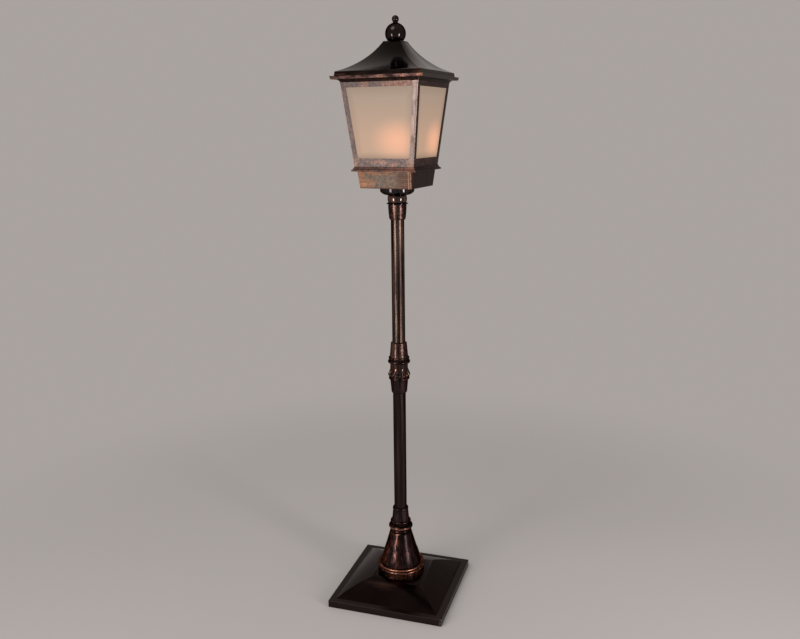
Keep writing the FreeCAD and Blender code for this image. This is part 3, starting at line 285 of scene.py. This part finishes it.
zinc_finish, place = new_finish("zinc_plated_thread")
height = place.parts()[2]
thread = height.sum("SINE", height * (2.0 * math.pi / THREAD_PITCH))
place.surface({
    "Base Color": place.mottle(180.0).tint(*ZINC_COLOURS),
    "Metallic": 1.0,
    "Roughness": 0.32,
    "Normal": thread.relief(0.0004, 0.6),
})
dress(zinc_finish, "base_nut", "base_pipe", "middle_pipe", "top_pipe", "top_nut", "finial_rod",
      "lower_tube_insert", "lower_tube_plug", "upper_tube_insert", "upper_tube_plug", "roof_lugs")

nylon_finish, place = new_finish("black_nylon")
place.surface({
    "Base Color": place.mottle(300.0).tint(*NYLON_COLOURS),
    "Roughness": 0.42,
})
dress(nylon_finish, "cord_bushing")

lead_finish, place = new_finish("brown_lead")
place.surface({
    "Base Color": place.mottle(200.0).tint(*LEAD_COLOURS),
    "Roughness": 0.55,
})
dress(lead_finish, "inner_lead")

# ------------------------------------------------------------------ base pan
# Steel sheet pressed into a low four-sided pyramid with a flat rim and a folded skirt, sprayed
# with glossy near-black lacquer in which long warm brush marks show; the rim is a little lighter
# and speckled, with a painted highlight at its front right corner.

WELD_REACH = 0.00001


def ease_edges(node, width, angle=35.0):
    """Round the sharp folds of a CAD node's sheet metal, those bent by more than the angle."""
    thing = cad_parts[node]
    weld = thing.modifiers.new("weld", "WELD")
    weld.merge_threshold = WELD_REACH
    bevel = thing.modifiers.new("folds", "BEVEL")
    bevel.width = width
    bevel.segments = 2
    bevel.limit_method = "ANGLE"
    bevel.angle_limit = math.radians(angle)
    bevel.harden_normals = True


def fold_gap(across, along):
    """How far a place lies from the folds or hips that run down the corners of a square form."""
    return (abs(across) | abs(along)) - across.sum("MINIMUM", abs(across), abs(along))


BASE_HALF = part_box("base_pan")[1].x
RIM_START = BASE_HALF - 0.019
SLOPE_COLOURS = ((0.0120, 0.0070, 0.0070), (0.0200, 0.0125, 0.0120))
RIM_COLOURS = ((0.026, 0.0180, 0.0165), (0.046, 0.033, 0.030))
BRUSH_COLOUR = (0.095, 0.044, 0.032)
CORNER_HIGHLIGHT_COLOUR = (0.14, 0.115, 0.105)
MITRE_COLOUR = (0.085, 0.066, 0.060)
MITRE_WIDTH = 0.0014

pan_finish, place = new_finish("dark_lacquered_pan")
across, along = place.parts()[:2]
cloud = place.mottle(9.0, 4.0, 0.6)
front_slope = (-along - abs(across)).rise(0.0, 0.004)
brush = place.mottle(34.0, 3.0, 0.5, (0.16, 1.0, 1.0)).rise(0.46, 0.70)
brush = brush * front_slope * across.near(-0.040, 0.085) * along.near(-0.085, 0.050)
speck = place.mottle(240.0, 3.0, 0.6)
rim = (abs(across) | abs(along)).rise(RIM_START - 0.001, RIM_START + 0.001)
mitre = rim * fold_gap(across, along).rise(MITRE_WIDTH, 0.0)
# Painted highlight: the rim's front right corner is painted a pale speckled grey.
corner_highlight = rim * (across - along).rise(2.0 * BASE_HALF - 0.012, 2.0 * BASE_HALF - 0.002)
lacquer = cloud.rise(0.3, 0.75).tint(*SLOPE_COLOURS)
lacquer = (brush * (1.0 - rim)).tint(lacquer, BRUSH_COLOUR)
lacquer = rim.tint(lacquer, speck.tint(*RIM_COLOURS))
lacquer = (corner_highlight * speck.rise(0.40, 0.60)).tint(lacquer, CORNER_HIGHLIGHT_COLOUR)
lacquer = (mitre * 0.5).tint(lacquer, MITRE_COLOUR)
place.surface({
    "Base Color": lacquer,
    "Metallic": 1.0,
    "Roughness": cloud * 0.08 + rim * 0.14 + 0.13,
    "Specular Tint": (0.84, 0.82, 0.81),
})
dress(pan_finish, "base_pan")
ease_edges("base_pan", 0.0007, 20.0)

# ------------------------------------------------------------------ turned and cast fittings
# Spun cone, cast rings, collars and ferrules, lacquered purple-black over copper; the lacquer is
# rubbed through to bright copper on the rings that a hand meets, and brushed brown between them.
# The rings' copper is painted only on their fronts, partly a painted highlight; the cone's front
# copper streak is partly a painted highlight and its right side is darkened as painted shade.

LACQUER_BLACK = (0.026, 0.0165, 0.0170)
LACQUER_BROWN = (0.095, 0.038, 0.030)
RUBBED_COPPER = (0.40, 0.175, 0.110)
DEEPER = 0.45


def rubbed_bronze(name, worn_and_lit_rings=(), dark=LACQUER_BLACK, brown=LACQUER_BROWN, brushed=0.5,
                  gloss=0.16, copper=RUBBED_COPPER, front_rub_highlight=None, spots=0.0, right_shade=0.0):
    """Dark lacquered bronze on a turned piece: worn_and_lit_rings are bare copper, each as (height,
    radius, reach), painted only on each ring's front and fading to its sides, partly a painted
    highlight;
    brushed is the share of brown and right_shade how far it fades on the right, a painted shade;
    front_rub_highlight the foot and head of a bright copper streak up the front, partly a painted
    highlight;
    and spots the share of small bare blotches.
    """
    finish, place = new_finish(name)
    across, along, up = place.parts()
    radius = (across * across + along * along) ** 0.5
    cloud = place.mottle(40.0, 3.0, 0.6, (1.0, 1.0, 0.22))
    streak = place.mottle(190.0, 3.0, 0.6, (1.0, 1.0, 0.05))
    blot = place.mottle(150.0, 3.0, 0.6)
    deep = tuple(DEEPER * part for part in dark)
    lacquer = streak.rise(0.42, 0.70).tint(deep, dark)
    warm = cloud.rise(0.40, 0.66) * streak.rise(0.34, 0.62) * brushed
    # Painted shade: the brown fades on the right side as far as right_shade says.
    warm = warm * (1.0 - (across / radius).rise(-0.10, 0.35) * right_shade)
    lacquer = warm.tint(lacquer, brown)
    worn = blot.rise(0.52, 0.68) * spots
    # A rubbed copper streak up the front, painted where the highlight falls: partly a painted
    # highlight.
    if front_rub_highlight:
        front = (across / radius).near(-0.02, 0.13) * along.rise(0.0, -0.01) * up.rise(*front_rub_highlight)
        worn = worn | front * streak.rise(0.35, 0.6) * 0.25
    for level, edge, reach in worn_and_lit_rings:
        ring = up.near(level, reach).rise(0.25, 0.75) * radius.rise(edge - 0.003, edge - 0.0005)
        # Painted highlight: a ring's bare copper shows only on its front, fading towards the sides.
        front_highlight = along.rise(0.004, -0.012) * (abs(across) / radius).rise(0.98, 0.78)
        worn = worn | ring * front_highlight * cloud.rise(0.22, 0.46) * 0.9
    place.surface({
        "Base Color": worn.tint(lacquer, copper),
        "Metallic": 1.0,
        "Roughness": cloud * 0.06 + worn * 0.10 + (gloss - 0.03),
        "Specular Tint": (0.42, 0.38, 0.36),
    })
    return finish


FOOT_BEAD = (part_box("foot_ring")[1].z - 0.0052, 0.0700, 0.0050)
foot_finish = rubbed_bronze("foot_ring_bronze", [FOOT_BEAD],
                            dark=(0.072, 0.036, 0.031), brown=(0.17, 0.070, 0.048),
                            brushed=0.7, spots=0.8, gloss=0.22, copper=(0.38, 0.150, 0.090))
dress(foot_finish, "foot_ring")

CONE_LOW, CONE_HIGH = (corner.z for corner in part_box("pedestal_cone"))
# The cone's right side is darkened as painted shade; its front streak is partly a painted
# highlight.
cone_finish = rubbed_bronze("spun_cone_bronze", brown=(0.135, 0.056, 0.042), brushed=0.9,
                            right_shade=0.75, gloss=0.24,
                            front_rub_highlight=(CONE_LOW + 0.030, CONE_HIGH - 0.030))
dress(cone_finish, "pedestal_cone")

TORUS_FOOT = (CONE_HIGH + 0.0160, 0.0330, 0.0062)
collar_finish = rubbed_bronze("pedestal_collar_bronze", [TORUS_FOOT],
                              gloss=0.17, copper=(0.40, 0.165, 0.105))
dress(collar_finish, "pedestal_collar")

ferrule_finish = rubbed_bronze("lower_ferrule_bronze", dark=(0.042, 0.026, 0.028),
                               brown=(0.080, 0.043, 0.041), gloss=0.38)
dress(ferrule_finish, "lower_ferrule", "lower_collar")

boss_finish = rubbed_bronze("fluted_boss_bronze", dark=(0.078, 0.057, 0.054),
                            brown=(0.26, 0.105, 0.062), brushed=0.8, gloss=0.12)
dress(boss_finish, "fluted_boss")

coupling_finish = rubbed_bronze("coupling_bronze", dark=(0.044, 0.032, 0.032),
                                brown=(0.15, 0.054, 0.038), brushed=0.6, gloss=0.12)
dress(coupling_finish, "coupling_ring", "lower_bead")

mouth_finish = rubbed_bronze("collar_bronze", dark=(0.056, 0.033, 0.029),
                             brown=(0.155, 0.078, 0.060), brushed=0.9, gloss=0.28, spots=0.4,
                             copper=(0.30, 0.185, 0.150))
dress(mouth_finish, "upper_collar", "top_ferrule")

neck_finish = rubbed_bronze("neck_bronze", dark=(0.16, 0.120, 0.112), brown=(0.30, 0.145, 0.080),
                            brushed=0.6, gloss=0.09)
dress(neck_finish, "neck_barrel")

cup_finish = rubbed_bronze("cup_bronze", dark=(0.072, 0.060, 0.062), brushed=0.0, gloss=0.08)
dress(cup_finish, "neck_ring", "lantern_cup")

# ------------------------------------------------------------------ pole tubes
# Steel tube, copper-plated and toned nearly black, glossy, with long golden-brown streaks where
# the upper one has been rubbed.

LOWER_TUBE_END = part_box("lower_tube")[1].z
TONED_COLOURS = ((0.018, 0.0115, 0.0110), (0.040, 0.0270, 0.0250))
GOLDEN_BROWN = (0.140, 0.088, 0.066)

tube_finish, place = new_finish("toned_tube")
streak = place.mottle(110.0, 3.0, 0.55, (1.0, 1.0, 0.035))
patch = place.mottle(11.0, 4.0, 0.6, (1.0, 1.0, 0.5))
up = place.parts()[2]
upper = up.rise(LOWER_TUBE_END, LOWER_TUBE_END + 0.15)
worn = streak.rise(0.38, 0.62) * patch.rise(0.28, 0.58) * (upper * 0.80 + 0.06)
dark = streak.rise(0.3, 0.7).tint(*TONED_COLOURS)
place.surface({
    "Base Color": worn.tint(dark, GOLDEN_BROWN),
    "Metallic": 1.0,
    "Roughness": patch * 0.08 + 0.27,
    "Specular Tint": (0.30, 0.27, 0.26),
})
dress(tube_finish, "lower_tube", "upper_tube")

# ------------------------------------------------------------------ lantern box, ledge, frames
# Soldered copper sheet with a hand-rubbed patina: grey-lilac film with copper showing through in
# blotches, most on the front; the right side is painted dark as painted shade, and the front's
# right stile pale, a real film brightened into a painted highlight. The head stands turned.

HEAD_TURN = math.radians(-6.2)
FOLD_COPPER = (0.36, 0.18, 0.11)
PAINTED_SIDE_SHADE = (0.0150, 0.0078, 0.0070)
SIDE_CONTRAST = 2.2
EVEN_BRUSH = (0.12, 0.12, 1.0)
MARK_SPREAD = 1.6


def on_head(place):
    """The place seen square to the turned head."""
    return place.node("ShaderNodeMapping", {"Vector": place, "Rotation": (0.0, 0.0, -HEAD_TURN)})


def front_of(across, along):
    """1 on the head's front, 0 on its other sides."""
    return (-along - abs(across)).rise(-0.0015, 0.0005)


def right_of(across, along):
    """1 on the head's right side, 0 on the others."""
    return (across - abs(along)).rise(-0.0010, 0.0010)


def patina(name, film, copper, share, brush, marks=(), side_shade=PAINTED_SIDE_SHADE, grain=110.0):
    """Copper sheet under a grey film, each a pair of colours: share is how much copper shows, brush
    the stretch of the scratches, marks are rubbed places on the front as (across, up, reach across,
    reach up, strength), dim is the dark colour of the right side, a painted shade, and grain the
    fineness of the blotches.
    """
    finish, place = new_finish(name)
    place = on_head(place)
    across, along, up = place.parts()
    fold = fold_gap(across, along)
    cloud = place.mottle(24.0, 4.0, 0.6)
    blot = place.mottle(grain, 4.0, 0.7)
    scratch = place.mottle(230.0, 3.0, 0.6, brush)
    ragged = place.mottle(170.0, 4.0, 0.75).rise(0.30, 0.58)
    bare = cloud * 0.35 + blot * 0.65
    front = front_of(across, along)
    for mark_across, mark_up, reach_across, reach_up, strength in marks:
        spot = across.near(mark_across, MARK_SPREAD * reach_across)
        spot = spot * up.near(mark_up, MARK_SPREAD * reach_up)
        bare = bare + spot * front * ragged * strength
    bare = bare.rise(0.50 - share, 0.80 - share)
    pale = blot.rise(0.25, 0.75).tint(*film)
    ruddy = scratch.rise(0.30, 0.70).tint(*copper)
    mixed = bare.tint(pale, ruddy)
    mixed = (fold.rise(0.0022, 0.0) * blot.rise(0.3, 0.55) * 0.7).tint(mixed, FOLD_COPPER)
    # Painted shade: the right side of the head is painted a dark mottled colour.
    shade = blot.rise(0.3, 0.8).tint(side_shade, tuple(SIDE_CONTRAST * part for part in side_shade))
    mixed = right_of(across, along).tint(mixed, shade)
    place.surface({
        "Base Color": mixed,
        "Metallic": 0.3,
        "Roughness": scratch * 0.12 + 0.36,
        "Specular IOR Level": 0.12,
        "Specular Tint": (0.4, 0.35, 0.33),
        "Normal": scratch.relief(0.0002, 0.12),
    })
    return finish, place, mixed


BOX_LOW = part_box("lantern_box")[0].z
BOX_HALF = 0.0795
SEAM_PLACES = (BOX_HALF - 0.0105, BOX_HALF - 0.0046)
SEAM_WIDTH = 0.0020
SEAM_COPPER = (0.42, 0.235, 0.155)
BRUSHED_BROWN = (0.082, 0.039, 0.026)
EDGE_BROWN = (0.072, 0.027, 0.016)

box_finish, place, mixed = patina(
    "patina_box",
    film=((0.090, 0.066, 0.054), (0.165, 0.130, 0.104)),
    copper=((0.165, 0.080, 0.048), (0.34, 0.175, 0.105)),
    share=0.05,
    brush=(0.12, 1.0, 1.0),
    marks=[
        (-0.073, 1.275, 0.010, 0.030, 0.45),
        (-0.052, 1.260, 0.022, 0.012, 0.30),
        (-0.030, 1.288, 0.045, 0.006, 0.28),
        (0.012, 1.289, 0.010, 0.004, 0.35),
    ],
    grain=130.0,
)
across, along, up = place.parts()
scratch = place.mottle(300.0, 3.0, 0.6, (0.05, 1.0, 1.0))
front = front_of(across, along)
brown = front * across.rise(0.018, 0.052) * scratch.rise(0.20, 0.62)
mixed = (brown * 0.8).tint(mixed, BRUSHED_BROWN)
edge = across.rise(SEAM_PLACES[1], SEAM_PLACES[1] + 0.002)
edge = edge | up.rise(BOX_LOW + 0.0050, BOX_LOW + 0.0015) * 0.7
mixed = (front * edge).tint(mixed, EDGE_BROWN)
for seam_place in SEAM_PLACES:
    seam = front * across.near(seam_place, SEAM_WIDTH) * place.mottle(70.0).rise(0.3, 0.5)
    mixed = (seam * 0.8).tint(mixed, SEAM_COPPER)
place.surface({"Base Color": mixed})
dress(box_finish, "lantern_box")

ledge_finish = patina(
    "patina_ledge",
    film=((0.055, 0.031, 0.027), (0.115, 0.068, 0.057)),
    copper=((0.14, 0.064, 0.046), (0.27, 0.125, 0.088)),
    share=0.08,
    brush=EVEN_BRUSH,
    marks=[
        (0.048, 1.297, 0.018, 0.010, 0.25),
        (0.078, 1.299, 0.012, 0.010, 0.30),
    ],
)[0]
dress(ledge_finish, "drip_ledge")

FRAME_LOW, FRAME_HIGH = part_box("frame_front")
RAIL_LOW = FRAME_LOW.z + 0.009
RAIL_HIGH = FRAME_HIGH.z - 0.007
STILE_WIDTH = 0.016
STILE_EDGE = 0.0035
STILE_FILM_AND_HIGHLIGHT = ((0.265, 0.210, 0.195), (0.44, 0.345, 0.315))
STILE_HIGHLIGHT_HEIGHTS = (1.34, 1.46)
STILE_COPPER = (0.24, 0.115, 0.075)

frame_finish, place, mixed = patina(
    "patina_frame",
    film=((0.088, 0.067, 0.064), (0.180, 0.142, 0.132)),
    copper=((0.17, 0.080, 0.056), (0.36, 0.215, 0.170)),
    share=0.05,
    brush=(1.0, 1.0, 0.8),
    marks=[
        (-0.044, RAIL_HIGH, 0.010, 0.012, 0.30),
        (0.028, RAIL_HIGH, 0.030, 0.020, 0.14),
        (0.065, RAIL_HIGH, 0.040, 0.020, 0.22),
        (0.100, RAIL_HIGH + 0.003, 0.020, 0.016, 0.35),
        (-0.046, RAIL_LOW, 0.012, 0.009, 0.14),
        (-0.010, RAIL_LOW + 0.003, 0.024, 0.006, 0.22),
        (0.034, RAIL_LOW - 0.003, 0.018, 0.006, 0.22),
        (0.078, RAIL_LOW, 0.013, 0.014, 0.18),
        (0.102, 1.428, 0.016, 0.016, 0.30),
        (-0.084, RAIL_LOW, 0.008, 0.020, 0.25),
    ],
)
across, along, up = place.parts()
corner = abs(along) - abs(across)
# Painted highlight over a real grey film: the front's right stile is painted pale whitish lilac,
# paler towards the top.
stile = front_of(across, along) * across.rise(0.0, 0.01)
stile = stile * corner.rise(STILE_WIDTH + 0.0015, STILE_WIDTH - 0.0015)
stile_film_and_highlight = place.mottle(60.0, 3.0, 0.6, (1.0, 1.0, 0.4)).rise(0.30, 0.60)
pale = up.rise(*STILE_HIGHLIGHT_HEIGHTS).tint(*STILE_FILM_AND_HIGHLIGHT)
mixed = (stile * stile_film_and_highlight * 0.85).tint(mixed, pale)
mixed = (stile * corner.near(STILE_EDGE, 0.0030) * 0.7).tint(mixed, STILE_COPPER)
place.surface({"Base Color": mixed})
dress(frame_finish, "frame_front", "frame_back", "frame_left")

# Painted shade: the right frame gets a plain dark finish of its own, the other frames patina.
SHADED_SIDE_COLOURS = ((0.0135, 0.0060, 0.0058), (0.044, 0.0205, 0.0165))

shaded_side_finish, place = new_finish("shaded_right_frame")
blot = place.mottle(60.0, 3.0, 0.6)
place.surface({
    "Base Color": blot.rise(0.3, 0.7).tint(*SHADED_SIDE_COLOURS),
    "Roughness": 0.34,
    "Specular IOR Level": 0.05,
})
dress(shaded_side_finish, "frame_right")

# Painted shade: the crown moulding under the eave gets the patina in near-black colours.
shaded_crown_finish = patina(
    "shaded_patina_crown",
    film=((0.012, 0.0065, 0.0055), (0.030, 0.0160, 0.0120)),
    copper=((0.060, 0.026, 0.016), (0.125, 0.056, 0.036)),
    share=0.0,
    brush=EVEN_BRUSH,
    side_shade=(0.0075, 0.0042, 0.0038),
)[0]
dress(shaded_crown_finish, "crown_moulding")

for node in ("lantern_box", "drip_ledge", "crown_moulding"):
    ease_edges(node, 0.0006)
for side in ("front", "right", "back", "left"):
    ease_edges("frame_" + side, 0.0004)

# ------------------------------------------------------------------ glass panes
# Four panes of beige frosted glass behind the frames, held by brass clips in the corners.
# The panes glow with painted light, lighter towards the bottom, with a painted glow beside the lit
# bulb nearest the front right corner and painted shade along the frames.

PANE_LOW = FRAME_LOW.z + 0.018
PANE_HIGH = FRAME_HIGH.z - 0.0135
GLOW_LEVEL = 1.373
GLOW_FRONT = 0.043
GLOW_RIGHT = 0.040
GLOW_REACH_FRONT = 0.072
GLOW_REACH_RIGHT = 0.066
PANE_LIGHTS = ((0.245, 0.165, 0.115), (0.375, 0.215, 0.130))
PANE_EDGE_SHADE = (0.070, 0.028, 0.012)
GLOW_LIGHT = (0.72, 0.325, 0.178)

glass_finish, place = new_finish("frosted_beige_glass")
place = on_head(place)
across, along, up = place.parts()
# Painted light: the panes' emission, lighter towards the bottom.
fall = up.rise(PANE_HIGH, PANE_LOW + 0.04)
light = fall.tint(*PANE_LIGHTS)
# Painted shade along the bottom rail and, less, along the top rail and the corner stiles.
rim = 1.0 - up.rise(PANE_LOW, PANE_LOW + 0.026)
rim = rim | (1.0 - up.rise(PANE_HIGH, PANE_HIGH - 0.030)) * 0.35
rim = rim | fold_gap(across, along).rise(0.036, 0.016) * 0.35
light = (rim * 0.62).tint(light, PANE_EDGE_SHADE)
front = front_of(across, along)
right = right_of(across, along)
# Painted glow of the lit bulb on the front and right panes.
from_glow = (((across - GLOW_FRONT) ** 2.0) * 0.62 + (up - GLOW_LEVEL) ** 2.0) ** 0.5
glow = from_glow.rise(GLOW_REACH_FRONT, 0.0) * front
from_glow = (((along - GLOW_RIGHT) ** 2.0) * 0.72 + (up - GLOW_LEVEL) ** 2.0) ** 0.5
glow = glow | from_glow.rise(GLOW_REACH_RIGHT, 0.0) * right
light = (glow * (1.0 - rim * 0.5)).tint(light, GLOW_LIGHT)
place.surface({
    "Base Color": (0.17, 0.147, 0.125),
    "Roughness": 0.38,
    "Specular IOR Level": 0.1,
    "Emission Color": light,
    "Emission Strength": 1.0,
    "Normal": place.mottle(500.0).relief(0.0002, 0.05),
})
dress(glass_finish, "glass_front", "glass_right", "glass_back", "glass_left")

# ------------------------------------------------------------------ sockets and bulbs
# A brass wiring can carries two arms with brass cups and black phenolic sockets; the frosted
# bulbs have aluminium screw caps.

CAP_THREAD = 0.0036
BRASS_COLOURS = ((0.56, 0.39, 0.16), (0.36, 0.22, 0.09))
PHENOLIC_COLOURS = ((0.008, 0.007, 0.006), (0.020, 0.016, 0.013))
ALUMINIUM_COLOURS = ((0.60, 0.59, 0.56), (0.75, 0.74, 0.70))
FROST_COLOURS = ((0.66, 0.62, 0.55), (0.84, 0.81, 0.75))
BULB_LIGHTS = ((0.45, 0.22, 0.10), (1.0, 0.62, 0.34))
LIT = 1.5
UNLIT = 0.0

brass_finish, place = new_finish("lacquered_brass")
stain = place.mottle(70.0, 4.0)
place.surface({
    "Base Color": stain.rise(0.4, 0.75).tint(*BRASS_COLOURS),
    "Metallic": 1.0,
    "Roughness": stain * 0.2 + 0.18,
})
dress(brass_finish, "socket_can", "socket_can_lid", "socket_arms", "socket_cup_a", "socket_cup_b",
      "corner_clips")

phenolic_finish, place = new_finish("black_phenolic")
place.surface({
    "Base Color": place.mottle(120.0).tint(*PHENOLIC_COLOURS),
    "Roughness": 0.28,
})
dress(phenolic_finish, "socket_shell_a", "socket_shell_b")

cap_finish, place = new_finish("screw_cap_aluminium")
up = place.parts()[2]
turns = up.sum("SINE", up * (2.0 * math.pi / CAP_THREAD))
place.surface({
    "Base Color": place.mottle(200.0).tint(*ALUMINIUM_COLOURS),
    "Metallic": 1.0,
    "Roughness": 0.3,
    "Normal": turns.relief(0.0008, 0.8),
})
dress(cap_finish, "bulb_cap_a", "bulb_cap_b")

for letter, strength in (("a", LIT), ("b", UNLIT)):
    bulb_finish, place = new_finish("frosted_bulb_" + letter)
    low, high = (corner.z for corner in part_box("bulb_glass_" + letter))
    up = place.parts()[2]
    place.surface({
        "Base Color": up.rise(low, low + 0.03).tint(*FROST_COLOURS),
        "Roughness": 0.3,
        "Emission Color": up.rise(low - 0.01, high - 0.02).tint(*BULB_LIGHTS),
        "Emission Strength": strength,
    })
    dress(bulb_finish, "bulb_glass_" + letter)

# ------------------------------------------------------------------ roof and finial
# Eave plate and concave hipped roof of thin sheet, lacquered near black and glossy; the steps of
# the eave are worn back to copper. The finial's ball and tip are turned brass, lacquered alike.

EAVE_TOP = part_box("eave_plate")[1].z
FASCIA_TOP = EAVE_TOP + 0.0117
HIP_WIDTH = 0.0014
ROOF_COLOURS = ((0.0110, 0.0085, 0.0078), (0.0190, 0.0145, 0.0130))
FASCIA_BROWN = (0.040, 0.022, 0.019)
HIP_BROWN = (0.10, 0.070, 0.055)
FASCIA_COPPER = (0.17, 0.075, 0.050)

roof_finish, place = new_finish("near_black_roof")
place = on_head(place)
across, along, up = place.parts()
cloud = place.mottle(12.0, 3.0, 0.6)
blot = place.mottle(80.0, 3.0, 0.6, (0.25, 0.25, 1.0))
front = front_of(across, along)
fascia = up.rise(FASCIA_TOP + 0.0004, FASCIA_TOP - 0.0004)
grain = place.mottle(200.0, 4.0, 0.7)
ruddy = fascia * blot.rise(0.40, 0.62) * (1.0 - right_of(across, along))
line = fascia * up.near(EAVE_TOP + 0.004, 0.0028) * across.near(-0.106, 0.024).rise(0.0, 0.4)
line = line * grain.rise(0.36, 0.56)
end = fascia * across.rise(0.094, 0.118) * grain.rise(0.38, 0.58)
worn = (line | end) * front
hip = fold_gap(across, along).rise(HIP_WIDTH, 0.0) * blot.rise(0.35, 0.6) * 0.25
dark = cloud.rise(0.3, 0.7).tint(*ROOF_COLOURS)
dark = ruddy.tint(dark, FASCIA_BROWN)
dark = hip.tint(dark, HIP_BROWN)
place.surface({
    "Base Color": (worn * 0.8).tint(dark, FASCIA_COPPER),
    "Metallic": 1.0,
    "Roughness": cloud * 0.05 + fascia * 0.12 + 0.11,
    "Specular Tint": (0.86, 0.84, 0.83),
})
dress(roof_finish, "roof_shell")

EAVE_COLOURS = ((0.0120, 0.0060, 0.0050), (0.070, 0.037, 0.031))
EAVE_RIGHT_SHEEN = (0.070, 0.056, 0.048)
EAVE_COPPER = (0.155, 0.072, 0.046)

eave_finish, place = new_finish("worn_eave")
place = on_head(place)
across, along = place.parts()[:2]
blot = place.mottle(90.0, 3.0, 0.6, (0.35, 0.35, 1.0))
front = front_of(across, along)
patch = across.near(0.0135, 0.017) | across.near(0.0757, 0.011) | across.rise(0.108, 0.124)
patch = (patch * front).rise(0.25, 0.7) * place.mottle(190.0, 4.0, 0.7).rise(0.40, 0.62)
brown = blot.rise(0.36, 0.64).tint(*EAVE_COLOURS)
# Painted sheen: the eave's right side is a flat lighter grey.
brown = right_of(across, along).tint(brown, EAVE_RIGHT_SHEEN)
place.surface({
    "Base Color": (patch * 0.8).tint(brown, EAVE_COPPER),
    "Metallic": 1.0,
    "Roughness": 0.30,
    "Specular Tint": (0.80, 0.77, 0.76),
})
dress(eave_finish, "eave_plate")
ease_edges("eave_plate", 0.0007)
ease_edges("roof_shell", 0.0006, 28.0)

FINIAL_COLOURS = ((0.026, 0.0200, 0.0190), (0.042, 0.0310, 0.0290))

finial_finish, place = new_finish("near_black_finial")
cloud = place.mottle(60.0, 3.0)
place.surface({
    "Base Color": cloud.rise(0.3, 0.75).tint(*FINIAL_COLOURS),
    "Metallic": 1.0,
    "Roughness": cloud * 0.04 + 0.09,
    "Specular Tint": (0.35, 0.32, 0.31),
})
dress(finial_finish, "finial_ball", "finial_tip")
